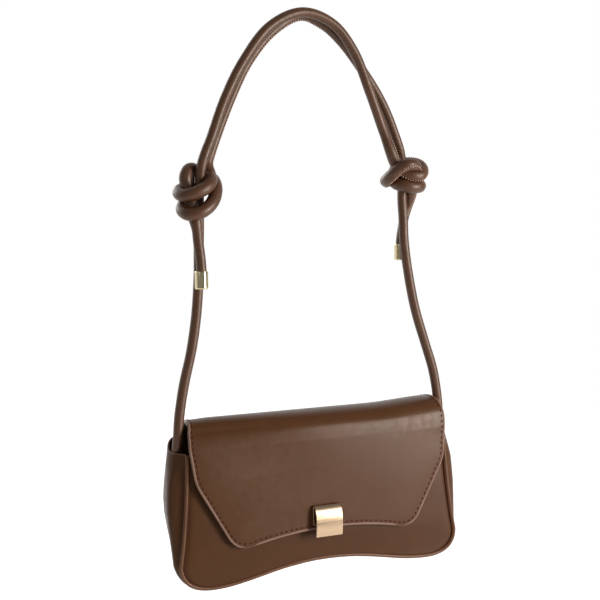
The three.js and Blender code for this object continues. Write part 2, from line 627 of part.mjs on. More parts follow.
// The cord ends sewn into the gusset, and the patches that hold them
const END_TOP = ANCHOR_HEIGHT - CORD_RADIUS - JOINT_GAP;
const END_LENGTH = 38;
for (const [word, side] of [['left', -1], ['right', 1]]) {
  const end = new THREE.CylinderGeometry(CORD_RADIUS, CORD_RADIUS * 0.8, END_LENGTH, CORD_SIDES);
  end.rotateX(Math.PI / 2);
  end.translate(side * ANCHOR_X, STRAP_PLANE, END_TOP - END_LENGTH / 2);
  place(`${word}_strap_end`, end, cordBrown);
  const patch = new THREE.BoxGeometry(1.2, 18, 28);
  patch.translate(side * (ANCHOR_X - CORD_RADIUS - FIT_GAP - 0.6), STRAP_PLANE + 4, END_TOP - 24);
  place(`${word}_strap_patch`, patch, leatherBrown);
}

// The metal caps: cups with the cord's end inside
function endCap(name, route, length) {
  const bore = CORD_RADIUS + FIT_GAP;
  const capProfile = [
    [0, -CAP_LENGTH], [CAP_RADIUS - 0.8, -CAP_LENGTH], [CAP_RADIUS, -CAP_LENGTH + 0.8], [CAP_RADIUS, -0.4],
    [CAP_RADIUS - 0.4, 0], [bore, 0], [bore, -CAP_BORE_DEPTH], [0, -CAP_BORE_DEPTH],
  ].map(([r, y]) => new THREE.Vector2(r, y));
  const geometry = new THREE.LatheGeometry(capProfile, 20);
  const end = pointAt(route, length);
  const along = route.getTangentAt(1).negate();
  const mesh = place(name, geometry, paleGold);
  mesh.quaternion.setFromUnitVectors(new THREE.Vector3(0, 1, 0), along);
  mesh.position.copy(end).addScaledVector(along, CAP_BORE_DEPTH - FIT_GAP);
}
endCap('right_end_cap', leftCord, leftLay.length);
endCap('left_end_cap', rightCord, rightLay.length);

bag.position.copy(HOOK_SEAT).negate();

const part = new THREE.Group();
part.add(bag);
export default part;
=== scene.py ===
# %% [markdown]
# # A small flap bag on a knotted strap
# The bag is sewn from brown leather and hangs by two leather cords. Each cord starts in one side of the
# bag, passes through the knot of the other cord, arches over, knots round the other cord and ends in a
# metal cap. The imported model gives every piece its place, so this lesson only makes the pieces look like
# what they are.

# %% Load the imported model
import math
from types import SimpleNamespace
import bpy
import numpy as np
from mathutils import Matrix, Vector
from mathutils.bvhtree import BVHTree


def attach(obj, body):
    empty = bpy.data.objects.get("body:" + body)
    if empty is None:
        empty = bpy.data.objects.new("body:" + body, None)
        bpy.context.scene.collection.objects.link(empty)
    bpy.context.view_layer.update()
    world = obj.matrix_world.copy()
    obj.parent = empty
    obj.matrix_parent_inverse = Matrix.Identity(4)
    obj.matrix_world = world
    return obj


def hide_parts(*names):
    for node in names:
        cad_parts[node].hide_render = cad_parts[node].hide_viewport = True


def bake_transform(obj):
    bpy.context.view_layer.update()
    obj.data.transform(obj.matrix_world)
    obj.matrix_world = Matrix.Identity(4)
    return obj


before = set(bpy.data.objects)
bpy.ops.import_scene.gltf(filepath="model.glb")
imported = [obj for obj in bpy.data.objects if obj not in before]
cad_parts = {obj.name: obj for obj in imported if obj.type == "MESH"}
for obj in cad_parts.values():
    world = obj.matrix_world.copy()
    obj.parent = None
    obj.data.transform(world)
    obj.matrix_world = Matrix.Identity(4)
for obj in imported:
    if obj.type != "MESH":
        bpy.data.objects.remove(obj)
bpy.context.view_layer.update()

# %% [markdown]
# ## The camera
# The bag was seen from its left front, a little above the middle of the strap, through a long lens. A long
# lens keeps the two knots nearly the same size, so the camera stands about a metre away.

# %% Place the camera
YAW, PITCH, ROLL = (math.radians(angle) for angle in (-26.143, 4.178, -0.718))
CAMERA_PLACE, CAMERA_LENS = (-0.45788, -0.92247, -0.15116), 75.55

bpy.ops.object.select_all(action="DESELECT")
bpy.ops.object.camera_add()
camera = bpy.context.object
turn = (Matrix.Rotation(YAW, 4, "Z") @ Matrix.Rotation(math.pi / 2 - PITCH, 4, "X")
        @ Matrix.Rotation(ROLL, 4, "Z"))
camera.matrix_world = Matrix.Translation(CAMERA_PLACE) @ turn
camera.data.lens = CAMERA_LENS
bpy.context.scene.camera = camera
print("camera", [round(v, 3) for v in camera.location])

# %% [markdown]
# ## Measures and colours
# Sizes are easiest to read in millimetres from the bag's lowest point, so one function turns them into the
# model's metres. Colours are written as they look on a screen, and one function makes them linear for the
# shaders.

# %% Small helpers
HOOK_SEAT = np.array([-7.0, -8.0, 451.0])


def at(points):
    """Millimetres on the bag become metres in the model's frame."""
    return (np.asarray(points, float) - HOOK_SEAT) / 1000


def ease(value, low, high):
    """0 below low, 1 above high and a soft step between."""
    t = np.clip((value - low) / (high - low), 0, 1)
    return t * t * (3 - 2 * t)


def unit(vectors):
    """The same directions, each of length 1."""
    return vectors / np.linalg.norm(vectors, axis=-1, keepdims=True)


def linear(hexcode):
    """An sRGB hex colour as linear red, green, blue and alpha."""
    values = [int(hexcode[i:i + 2], 16) / 255 for i in (1, 3, 5)]
    return (*[v / 12.92 if v <= 0.04045 else ((v + 0.055) / 1.055) ** 2.4 for v in values], 1)


print("linear brown", [round(v, 3) for v in linear("#5f3f2f")])

# %% [markdown]
# ## How a material is made
# A material is a small tree of nodes. One function adds a node and fills its inputs, one starts a material,
# and one wires patterns to the main shader, where they set its colour, its roughness and its bumps.

# %% Material helpers
def add(tree, kind, fill=None, out=0, **settings):
    """Adds one shader node and gives back one of its outputs. settings are the node's own choices, and fill
    gives its inputs values or other outputs."""
    made = tree.nodes.new("ShaderNode" + kind)
    for name, value in settings.items():
        setattr(made, name, value)
    for name, value in (fill or {}).items():
        if isinstance(value, bpy.types.NodeSocket):
            tree.links.new(value, made.inputs[name])
        else:
            made.inputs[name].default_value = value
    return made.outputs[out]


def wave_scale(pitch):
    """The Scale of a wave texture with bands pitch mm apart: it makes 20 x Scale / 2 pi bands a metre."""
    return 1000 / pitch * 2 * math.pi / 20


def start_material(name, **sockets):
    """A new material, its tree and its main shader, with the plain sockets set."""
    material = bpy.data.materials.new(name)
    material.use_nodes = True
    shader = material.node_tree.nodes["Principled BSDF"]
    for socket, value in sockets.items():
        shader.inputs[socket.replace("_", " ")].default_value = value
    return material, material.node_tree, shader


def wire(tree, shader, colour, gloss=None, relief=None, span=(0.3, 0.7)):
    """Wires patterns to the shader. colour is (pattern, dark, light), gloss is (pattern, least and most
    roughness) over a span of the pattern's values, and relief is (pattern, strength, depth in mm)."""
    dark, light = (linear(end) if isinstance(end, str) else end for end in colour[1:])
    tone = add(tree, "Mix", {0: colour[0], 6: dark, 7: light}, 2, data_type="RGBA")
    tree.links.new(tone, shader.inputs["Base Color"])
    if gloss:
        rough = add(tree, "MapRange", {"Value": gloss[0], "From Min": span[0], "From Max": span[1],
                                       "To Min": gloss[1], "To Max": gloss[2]})
        tree.links.new(rough, shader.inputs["Roughness"])
    if relief:
        bump = add(tree, "Bump", {"Strength": relief[1], "Distance": relief[2] / 1000, "Height": relief[0]})
        tree.links.new(bump, shader.inputs["Normal"])


# %% [markdown]
# ## Cord leather and its thread
# The cords are strips of dyed calf leather, folded round a core and sewn along one side. The leather is
# stretched smooth, so it shows a satin gloss, faint creases across the cord, and a dark line where the
# edges meet. The pattern follows the cord's own UV map, which counts millimetres along and a share of the
# way round.

# %% Cord leather and thread
LEATHER_TINT = linear("#fbeee2")
cord_leather, tree, shader = start_material("cord_calf_leather", Specular_IOR_Level=0.7,
                                            Specular_Tint=LEATHER_TINT)
along_cord = add(tree, "TexCoord", out="UV")
place = add(tree, "TexCoord", out="Object")
# cloudy dye over about 18 mm
cloud = add(tree, "TexNoise", {"Vector": place, "Scale": 1000 / 18, "Detail": 3.0})
dye = add(tree, "Mix", {0: cloud, 6: linear("#442613"), 7: linear("#5f3a21")}, 2, data_type="RGBA")
# the seam where the edges of the strip meet, about 1 mm wide on a 25 mm girth
way_round = add(tree, "SeparateXYZ", {"Vector": along_cord}, "Y")
off_seam = add(tree, "Math", {0: way_round, 1: 0.5}, operation="SUBTRACT")
off_seam = add(tree, "Math", {0: off_seam}, operation="ABSOLUTE")
seam = add(tree, "MapRange", {"Value": off_seam, "From Min": 0.012, "From Max": 0.035,
                              "To Min": 0.85, "To Max": 0.0})
# creases across the cord every 3 mm or so, and pores of 0.9 mm, coarser than real ones so that they show
squeeze = add(tree, "Mapping", {"Vector": along_cord, "Scale": (1 / 3, 2.0, 1)})
crease = add(tree, "TexNoise", {"Vector": squeeze, "Scale": 1.0, "Detail": 4.0})
pores = add(tree, "TexVoronoi", {"Vector": place, "Scale": 1000 / 0.9}, "Distance")
height = add(tree, "Math", {0: pores, 1: 0.25, 2: crease}, operation="MULTIPLY_ADD")
wire(tree, shader, (seam, dye, "#20120b"), (crease, 0.38, 0.5), (height, 0.22, 0.4))


def waxed_thread(name, dark, light):
    """Waxed polyester thread: twisted strands, light and dark aslant every 0.5 mm, with little gloss."""
    material, tree, shader = start_material(name, Roughness=0.6, Specular_IOR_Level=0.15)
    place = add(tree, "TexCoord", out="Object")
    slant = add(tree, "Mapping", {"Vector": place, "Rotation": (0.6, 0.5, 0.7)})
    twist = add(tree, "TexWave", {"Vector": slant, "Scale": wave_scale(0.5), "Distortion": 1.0})
    wire(tree, shader, (twist, dark, light), relief=(twist, 0.3, 0.2))
    return material


cord_thread = waxed_thread("cord_thread", "#a47d68", "#d8b5a0")
print("made", cord_leather.name, cord_thread.name)

# %% [markdown]
# ## The routes of the two cords
# A cord could be a Bezier curve with a round bevel, but strands that press on each other in a knot need
# their sides flattened, and that is only possible on a mesh. So each route is a list of points along the
# model's, drawn a little tighter in the knots, with a smooth curve laid through them in even steps.

# %% Cord routes
STRAP_PLANE, FRONT_STRAND, REAR_STRAND = -8.0, -12.3, -3.7
ANCHOR_X, ANCHOR_HEIGHT = 120.5, 121.5
LEFT_KNOT = np.array([-102, STRAP_PLANE, ANCHOR_HEIGHT + 193.5])
RIGHT_KNOT = np.array([88.4, STRAP_PLANE, ANCHOR_HEIGHT + 206.2])
FACING = math.radians(26)


def strand(plane, points):
    """Points (across, rise above the anchors) in one upright plane."""
    return [(x, plane, ANCHOR_HEIGHT + rise) for x, rise in points]


def foot(side, points):
    """Points (inward from the anchor, rise) with the cord's sewn end below them."""
    sewn = [(side * (ANCHOR_X + out), STRAP_PLANE + back, z)
            for out, back, z in ((0, 4, 79.5), (0.5, 4, 92), (0.7, 3, 106))]
    return sewn + strand(STRAP_PLANE, [(side * (ANCHOR_X - inward), rise) for inward, rise in points])


def in_knot(middle, points):
    """Points (across, up, towards the front) from a knot's middle, turned to face the viewer."""
    c, s = math.cos(FACING), math.sin(FACING)
    return [tuple(middle + np.array([x * c - front * s, -x * s - front * c, z])) for x, z, front in points]


left_leg = foot(-1, [(0, 0), (1.5, 16.5), (5.8, 40.5)])
left_leg += strand(STRAP_PLANE, [(-107.7, 68.5), (-103.2, 95.5), (-100.8, 123.5)])
left_core = in_knot(LEFT_KNOT, [(1.8, -42, -1), (2.2, -28, -1), (3, 0, 0), (5.6, 20, 1.7)])
front_arch = strand(FRONT_STRAND, [
    (-89, 235.5), (-78, 263.5), (-61, 294.5), (-37, 323), (-8, 335.1), (19, 327), (38, 305.5), (52, 274.5)])
right_knot = in_knot(RIGHT_KNOT, [
    (-19, 36, 11), (-12.5, 18, 10.5), (-7.5, 7.5, 8), (-1, 1, 8.5), (6, -2, 8.7), (12, -1.5, 5.5),
    (14.8, 2.5, -1.5), (13, 6.8, -7.5), (7.5, 8.6, -10), (-0.5, 8.3, -11), (-7.3, 4, -8),
    (-9.2, -3, -2.3), (-7.8, -8.2, 5), (-2, -10, 9.5), (5.3, -11.4, 8.5), (11.5, -10.8, 2.5),
    (12.5, -9.5, -6), (6.5, -7.5, -12.5), (-2, -5, -16), (-10.5, -5, -12.5), (-15.3, -5.8, -4.5),
    (-15.3, -5, 5), (-11.2, -0.8, 12.5), (-5.2, 4, 16.3), (1.5, 6.8, 16), (6.2, 6.8, 12), (8.5, 4.5, 6),
    (7, -1, 0), (6.5, -7.5, -2.8), (5.7, -14, -5.3), (4, -24, -9.6)])
right_tail = [(93, 0.7, 292), (91, 1.9, 280), (90, 2.8, 270), (90, 3.2, 258.5)]

right_leg = foot(1, [(0, 0), (1.4, 16.5), (5.6, 38.5)])
right_leg += strand(STRAP_PLANE, [(107.6, 60.5), (97.8, 90.5), (91.3, 120.5), (87.2, 148.5)])
right_core = in_knot(RIGHT_KNOT, [(-1.8, -36, 0.3), (-2.6, -22, 0.3), (-2.5, 5, -0.5), (-3.9, 18.9, -2.5)])
rear_arch = strand(REAR_STRAND, [
    (81, 239.5), (70, 263.5), (53, 288.5), (31, 314.5), (11, 329.5), (-7, 333.5), (-31, 320.5), (-53, 295.5),
    (-71, 261.5)])
left_knot = in_knot(LEFT_KNOT, [
    (12.5, 31.5, -10.5), (9, 20.5, -9), (11, 12, -6.5), (12.3, 6.5, 1.5), (9, 1.5, 9.5), (1, -2.6, 13.5),
    (-6.5, -4.5, 12.5), (-11.3, -3.3, 7), (-12.6, -1, -0.5), (-9.5, 1, -8), (-2, 2, -11.5),
    (6, 4.5, -14.5), (11.5, 8.5, -13.5), (14.5, 5.5, -8), (15.9, -0.5, -1), (14.6, -7.5, 4.5),
    (11, -13.2, 10), (4, -17.8, 14.5), (-4, -18.8, 14.8), (-9, -16.3, 9), (-10, -13, 1.5),
    (-8.5, -11.5, -6), (-5.5, -8, -13.5), (-3, 3, -19), (-2, 12.5, -16), (-2, 15.9, -9.5),
    (-5.3, 15.3, -2), (-7.2, 10.5, 2), (-6.5, 3, 2.3), (-4.5, -7, 5), (-1.5, -17, 7), (1, -28, 9)])
left_tail = [(-104, -17, 275), (-102.4, -18.2, 257), (-102.4, -18.6, 242)]


def run_of(line):
    """How far along the line each of its points is."""
    return np.concatenate([[0], np.cumsum(np.linalg.norm(np.diff(line, axis=0), axis=1))])


def sample(values, run, places):
    """Values that are known at some runs along a line, read off at other places along it."""
    return np.column_stack([np.interp(places, run, column) for column in values.T])


def even_steps(line, step):
    """The same line with its points spaced evenly."""
    run = run_of(line)
    return sample(line, run, np.linspace(0, run[-1], max(2, round(run[-1] / step) + 1)))


def smooth_line(points, step):
    """A smooth curve through the points, cut into even steps."""
    p = np.array(points, float)
    p = np.vstack([2 * p[0] - p[1], p, 2 * p[-1] - p[-2]])
    t = np.linspace(0, 1, 24, endpoint=False)[:, None]
    pieces = []
    for p0, p1, p2, p3 in zip(p, p[1:], p[2:], p[3:]):
        d0, d1, d2 = (np.linalg.norm(b - a) ** 0.5 for a, b in ((p0, p1), (p1, p2), (p2, p3)))
        leave = ((p1 - p0) / d0 - (p2 - p0) / (d0 + d1) + (p2 - p1) / d1) * d1
        arrive = ((p2 - p1) / d1 - (p3 - p1) / (d1 + d2) + (p3 - p2) / d2) * d1
        pieces.append((2 * t ** 3 - 3 * t ** 2 + 1) * p1 + (t ** 3 - 2 * t ** 2 + t) * leave
                      + (3 * t ** 2 - 2 * t ** 3) * p2 + (t ** 3 - t ** 2) * arrive)
    return even_steps(np.vstack(pieces + [p[-2:-1]]), step)


CORD_STEP = 1.25
left_line = smooth_line(left_leg + left_core + front_arch + right_knot + right_tail, CORD_STEP)
right_line = smooth_line(right_leg + right_core + rear_arch + left_knot + left_tail, CORD_STEP)
print("cord lengths, mm", round(run_of(left_line)[-1]), round(run_of(right_line)[-1]))

# %% [markdown]
# ## Rings round a route
# Each ring of the tube needs two directions across the cord. They are carried from step to step without
# twist, as a real cord lies, and then turned a little at a time so that the sewn seam faces where it is
# seen to face. Where another strand is closer than two radii, the ring's side is pushed back to the plane
# half way between them, so the strands of a knot press flat on each other and never cross.

# %% Rings and tubes
CORD_RADIUS, KNOT_RADIUS = 4.05, 5.3
SIDES = 36
# stretches of one cord count as two strands from this far along, and strands keep this much air between them
STRAND_APART, PRESS_GAP = 25, 0.06
ring_turn = 2 * np.pi * np.arange(SIDES) / SIDES
# the seam is a shallow groove between two low ridges
from_seam = np.abs(ring_turn - np.pi)
groove, ridge = np.exp(-(from_seam / 0.12) ** 2), np.exp(-((from_seam - 0.3) / 0.16) ** 2)
ring_shape = 1 - 0.07 * groove + 0.025 * ridge


def seam_frames(line, seams):
    """The seam's direction and the one across it at every step. seams gives pairs of a point on
    the route and a direction."""
    along = unit(np.gradient(line, axis=0))
    carried = [np.array([0.0, -1.0, 0.0])]
    for t in along:
        carried.append(unit(carried[-1] - carried[-1].dot(t) * t))
    first = np.array(carried[1:])
    second = np.cross(along, first)
    run = run_of(line)
    places, angles = [], []
    for point, direction in seams:
        i = int(np.argmin(np.linalg.norm(line - point, axis=1)))
        angle = math.atan2(np.dot(direction, second[i]), np.dot(direction, first[i]))
        if angles:
            angle += 2 * math.pi * round((angles[-1] - angle) / (2 * math.pi))
        places.append(run[i])
        angles.append(angle)
    angle = np.interp(run, places, angles)[:, None]
    seam = np.cos(angle) * first + np.sin(angle) * second
    return seam, np.cross(along, seam)


def cord_rings(line, frames, radius, strands):
    """Ring points for every step, with sides pressed flat where one of the other strands is close."""
    seam, across = frames
    out = -np.cos(ring_turn)[:, None] * seam[:, None] - np.sin(ring_turn)[:, None] * across[:, None]
    rings = line[:, None] + (radius[:, None] * ring_shape)[..., None] * out
    run = run_of(line)
    for i, centre in enumerate(line):
        for other, same in strands:
            gap = np.linalg.norm(other - centre, axis=1)
            close = gap < 2 * KNOT_RADIUS
            if same:
                close &= np.abs(run_of(other) - run[i]) > STRAND_APART
            for j in np.flatnonzero(close):
                towards = (other[j] - centre) / gap[j]
                over = (rings[i] - centre) @ towards - (gap[j] - PRESS_GAP) / 2
                rings[i] -= np.clip(over, 0, None)[:, None] * towards
    return rings


def new_piece(name, points, faces, material):
    """A smooth piece from points in mm on the bag."""
    mesh = bpy.data.meshes.new(name)
    mesh.from_pydata(at(points).tolist(), [], faces)
    mesh.shade_smooth()
    mesh.materials.append(material)
    piece = bpy.data.objects.new(name, mesh)
    bpy.context.scene.collection.objects.link(piece)
    return piece


def cord_tube(name, rings, run, material):
    """A closed tube through the rings, with its UV map in millimetres along and a share of the way round."""
    count = len(rings)
    k, nxt = np.arange(SIDES), (np.arange(SIDES) + 1) % SIDES
    faces = [(i * SIDES + a, i * SIDES + b, (i + 1) * SIDES + b, (i + 1) * SIDES + a)
             for i in range(count - 1) for a, b in zip(k, nxt)]
    faces += [tuple(reversed(range(SIDES))), tuple(range((count - 1) * SIDES, count * SIDES))]
    piece = new_piece(name, rings.reshape(-1, 3), faces, material)
    uv = [(run[i + di], (a + da) / SIDES) for i in range(count - 1) for a in k
          for di, da in ((0, 0), (0, 1), (1, 1), (1, 0))]
    uv += [(run[0], 0.0)] * SIDES + [(run[-1], 0.0)] * SIDES
    piece.data.uv_layers.new(name="cord").data.foreach_set("uv", np.array(uv, float).ravel())
    return piece


def roll_tube(name, line, radius, material):
    """A thin roll, closed at both ends, of slightly uneven girth, with its seam let into the bag."""
    run = run_of(line)
    frames = seam_frames(line, [(line[0], (0, 1, 0)), (line[1], (0, 1, 0))])
    uneven = radius * (1 + 0.02 * np.sin(run / 5.1))
    return cord_tube(name, cord_rings(line, frames, uneven, []), run, material)


# %% [markdown]
# ## Where the seams face
# Along most of their way the cords hide their seams from the viewer. Each list gives some points of a
# cord's route and the direction in which the seam faces there, and between them it turns evenly.

# %% Seams of the two cords
HIDDEN, UNDER = (0.44, 0.9, 0), (0.44, 0.9, -0.3)
LOW_FRONT, FRONT = (-0.26, -0.54, -0.8), (0.1, -1, 0)
left_seams = [
    (left_leg[0], HIDDEN), (front_arch[0], UNDER), (front_arch[5], UNDER), (front_arch[-1], UNDER),
    (right_knot[0], (0.95, 0.2, 0.2)), (right_knot[1], (0.75, -0.65, 0.1)), (right_knot[3], LOW_FRONT),
    (right_knot[4], LOW_FRONT), (right_knot[5], (0, -0.6, -0.8)), (right_knot[7], (-0.1, -0.6, 0.75)),
    (right_knot[9], (0.2, 0.3, 0.9)), (right_knot[13], HIDDEN), (right_knot[16], HIDDEN),
    (right_knot[21], (-0.1, -0.7, -0.7)), (right_knot[22], (0.14, -0.77, -0.62)),
    (right_knot[23], (0.01, -0.86, -0.51)), (right_knot[24], (-0.24, -0.94, -0.26)),
    (right_tail[0], FRONT), (right_tail[-1], FRONT)]
right_seams = [
    (right_leg[0], HIDDEN), (rear_arch[0], HIDDEN), (rear_arch[3], HIDDEN), (rear_arch[5], (0, -0.7, -0.7)),
    (rear_arch[7], (0.4, -0.75, -0.5)), (left_knot[0], (0.5, -0.7, -0.4)), (left_knot[5], HIDDEN),
    (left_knot[17], HIDDEN), (left_knot[27], HIDDEN), (left_tail[-1], HIDDEN)]
left_frames = seam_frames(left_line, left_seams)
right_frames = seam_frames(right_line, right_seams)
print("seams turned at", len(left_seams), "and", len(right_seams), "points")

# %% [markdown]
# ## The two cords
# Each cord is one piece from its sewn end to the middle of its knot. The hanging tail below the knot
# swings, so it is a piece of its own, whose hidden start sits inside the knot.

# %% Main cords and tails
# where each tail swings, and how far along each cord its knot starts
PIVOTS = {"left": (-105.1, -16.5, 287.1), "right": (98.2, -3.9, 303.7)}
KNOT_STARTS = {"left": 575, "right": 590}
# the main cord stops this far before the tail's pivot, and the tail starts this far inside it
STOP_SHORT, TUCK = 12, 10


def lay_cord(side, far_side, line, frames, strands):
    """The main cord from its sewn side up to its knot, and its tail on the far side."""
    run, half, start = run_of(line), len(line) // 2, KNOT_STARTS[side]
    pivot = int(np.argmin(np.linalg.norm(line[half:] - PIVOTS[far_side], axis=1))) + half
    # a cord is thicker in its knot, thinner inside the bag, and nowhere quite even
    swell = ease(run, start - 30, start) - ease(run, run[pivot] - 8, run[pivot] + 6)
    radius = (CORD_RADIUS + (KNOT_RADIUS - CORD_RADIUS) * swell) * (0.84 + 0.16 * ease(run, 0, 30))
    radius += 0.05 * np.sin(run / 7.3) * np.sin(run / 23.0)
    rings = cord_rings(line, frames, radius, strands)
    last = pivot - int(STOP_SHORT / CORD_STEP)
    first = last - int(TUCK / CORD_STEP)
    main = cord_tube(side + "_cord", rings[:last], run[:last], cord_leather)
    # the start of the tail is drawn in, so that it stays inside the main cord
    inside = (0.12 * (1 - ease(run[first:], run[last] - 2, run[last] + 1)))[:, None, None]
    tucked = rings[first:] - inside * (rings[first:] - line[first:, None])
    tail = cord_tube(far_side + "_tail", tucked, run[first:] - run[first], cord_leather)
    print(main.name, len(main.data.vertices), tail.name, len(tail.data.vertices))
    return SimpleNamespace(side=side, far_side=far_side, line=line, rings=rings, main=main, tail=tail,
                           last=last, first=first)


left_cord = lay_cord("left", "right", left_line, left_frames, [(left_line, True), (right_line, False)])
right_cord = lay_cord("right", "left", right_line, right_frames, [(right_line, True), (left_line, False)])
cords = (left_cord, right_cord)

# %% [markdown]
# ## Stitches
# A stitch is a short bead of thread that dips into the leather at both ends. One bead is modelled from a
# small ball, and its shape is repeated along a line, each time laid on the surface and turned a little
# aslant, as a sewing machine leaves it. All beads of a row become one mesh, because they move together.

# %% A row of stitches
bpy.ops.object.select_all(action="DESELECT")
bpy.ops.mesh.primitive_uv_sphere_add(segments=6, ring_count=5, radius=0.5)
bead = bpy.context.object
bpy.ops.object.mode_set(mode="EDIT")
bpy.ops.mesh.select_all(action="SELECT")
bpy.ops.transform.rotate(value=math.pi / 2, orient_axis="Y", center_override=(0, 0, 0))
bpy.ops.object.mode_set(mode="OBJECT")
bead_points = np.array([v.co for v in bead.data.vertices])
bead_faces = [tuple(f.vertices) for f in bead.data.polygons]
bpy.data.objects.remove(bead)


def stitch_row(name, line, outward, pitch, size, material, slant):
    """Beads of size (long, wide, high) in mm along a line, each lying flat on the outward directions."""
    run = run_of(line)
    places = np.arange(pitch / 2, run[-1], pitch)
    centre, normal = sample(line, run, places), unit(sample(outward, run, places))
    along = sample(np.gradient(line, axis=0), run, places)
    along = unit(along - np.sum(along * normal, axis=1, keepdims=True) * normal)
    lie = math.cos(slant) * along + math.sin(slant) * np.cross(normal, along)
    wide = np.cross(normal, lie)
    shape = bead_points * size
    points = (centre[:, None] + shape[None, :, :1] * lie[:, None] + shape[None, :, 1:2] * wide[:, None]
              + shape[None, :, 2:] * normal[:, None]).reshape(-1, 3)
    faces = [tuple(i * len(shape) + v for v in f) for i in range(len(centre)) for f in bead_faces]
    print(name, len(centre), "stitches")
    return new_piece(name, points, faces, material)


CORD_STITCH, CORD_PITCH, CORD_SLANT = (1.45, 1.6, 1.4), 2.2, 0.6
THREAD_LIFT = 0.25
STEPS_IN_CAP = 8


def cord_stitches(name, cord, steps):
    """Stitches along some steps of a cord's seam, which is the ring's middle point."""
    seam, line = cord.rings[steps, SIDES // 2], cord.line[steps]
    lifted = seam + THREAD_LIFT * unit(seam - line)
    return stitch_row(name, lifted, seam - line, CORD_PITCH, CORD_STITCH, cord_thread, CORD_SLANT)


for cord in cords:
    cord.main_seam = cord_stitches(cord.side + "_cord_stitches", cord, slice(cord.last))
for cord in cords:
    cord.tail_seam = cord_stitches(cord.far_side + "_tail_stitches", cord, slice(cord.last, -STEPS_IN_CAP))

# %% [markdown]
# ## Metal caps
# Each tail ends in a cap turned from brass and plated pale gold: a cup with a rolled mouth and a softened
# closed end. It is drawn out from a circle ring by ring, as on a lathe, and then laid along the end of its
# cord.

# %% Polished gold and the caps
polished_gold, tree, shader = start_material("polished_pale_gold", Metallic=1.0)
place = add(tree, "TexCoord", out="Object")
# handling leaves faint smears over about 4 mm, and polishing leaves lines of 0.4 mm
smear = add(tree, "TexNoise", {"Vector": place, "Scale": 1000 / 4, "Detail": 5.0})
polish = add(tree, "TexNoise", {"Vector": place, "Scale": 1000 / 0.4})
wire(tree, shader, (smear, "#cdbd92", "#e2d5b2"), (smear, 0.06, 0.13), (polish, 0.03, 0.2))


def turned(name, profile, around):
    """Lathe work: a circle drawn out along (radius, height) pairs, in metres, and closed at both ends."""
    bpy.ops.object.select_all(action="DESELECT")
    bpy.ops.mesh.primitive_circle_add(vertices=around, radius=profile[0][0], fill_type="NGON",
                                      location=(0, 0, profile[0][1]))
    piece = bpy.context.object
    piece.name = name
    bpy.ops.object.transform_apply()
    bpy.ops.object.mode_set(mode="EDIT")
    bpy.ops.mesh.select_all(action="SELECT")
    for (radius, height), (wider, higher) in zip(profile, profile[1:]):
        bpy.ops.mesh.extrude_region_move(TRANSFORM_OT_translate={"value": (0, 0, higher - height)})
        bpy.ops.transform.resize(value=(wider / radius, wider / radius, 1), center_override=(0, 0, higher))
    bpy.ops.mesh.select_all(action="SELECT")
    bpy.ops.mesh.normals_make_consistent(inside=False)
    bpy.ops.object.mode_set(mode="OBJECT")
    bpy.ops.object.shade_smooth_by_angle(angle=math.radians(35))
    return piece


CAP_PROFILE = [
    (0.5, -14), (4.3, -14), (4.75, -13.9), (5.05, -13.65), (5.25, -13.3), (5.3, -12.8), (5.3, -1.2),
    (5.28, -0.5), (5.15, -0.15), (4.95, 0), (4.55, 0), (4.35, -0.15), (4.3, -0.4), (4.3, -9.9),
    (0.5, -9.9)]
CAP_HOLD = 9.7


def end_cap(name, line):
    """A cap that holds the last CAP_HOLD mm of its cord."""
    cap = turned(name, [(r / 1000, h / 1000) for r, h in CAP_PROFILE], 64)
    backward = Vector(unit(line[-3] - line[-1]))
    mouth = Vector(at(line[-1])) + CAP_HOLD / 1000 * backward
    turn = Vector((0, 0, 1)).rotation_difference(backward).to_matrix().to_4x4()
    cap.matrix_world = Matrix.Translation(mouth) @ turn
    bpy.ops.object.select_all(action="DESELECT")
    cap.select_set(True)
    bpy.context.view_layer.objects.active = cap
    bpy.ops.object.transform_apply(location=True, rotation=True, scale=True)
    cap.data.materials.append(polished_gold)
    print(name, [round(1000 * v, 1) for v in mouth])
    return cap


for cord in cords:
    cord.cap = end_cap(cord.far_side + "_cap", cord.line)

# %% [markdown]
# ## The strap's pieces
# The model's cords, knots, tails and caps are hidden, and the new cords are fixed where they lie; each cap
# goes with its tail. The length of each cord is what the picture shows, end to end.

# %% Hide the model's cords and put the new ones in place
hang = np.array((0.0, 0.0, -1.0))
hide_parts("left_strap_end", "left_leg_cord", "front_arch_cord", "right_knot")
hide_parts("right_strap_end", "right_leg_cord", "rear_arch_cord", "left_knot")
for cord, way in ((left_cord, -1), (right_cord, 1)):
    for piece in (cord.main, cord.main_seam):
        at((way * ANCHOR_X, STRAP_PLANE, 114)).tolist()
        at((way * ANCHOR_X, STRAP_PLANE, 130)).tolist()
        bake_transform(piece)

for cord in cords:
    side, pivot = cord.far_side, np.array(PIVOTS[cord.far_side])
    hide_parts(side + "_tail_cord")
    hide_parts(side + "_end_cap")
    for piece in (cord.tail, cord.tail_seam):
        at(pivot - 4 * hang).tolist()
        at(pivot + 5 * hang).tolist()
        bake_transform(piece)
    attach(cord.cap, side + "_tail")

laid = [(cord.main, cord.line[:cord.last], "knot", [cord.main_seam]) for cord in cords]
laid += [(cord.tail, cord.line[cord.first:], "fitting", [cord.cap, cord.tail_seam]) for cord in cords]
for piece, path, far_end, with_pieces in laid:
    at(path[0]).tolist()
    at(path).tolist()

# %% [markdown]
# ## Bag leather, painted edges and lining
# The bag is full-grain calf leather with a satin finish: an even brown with cloudy dye, fine pores, and a
# soft sheen. Cut edges are painted a lighter brown. The inside is a plain woven cotton.

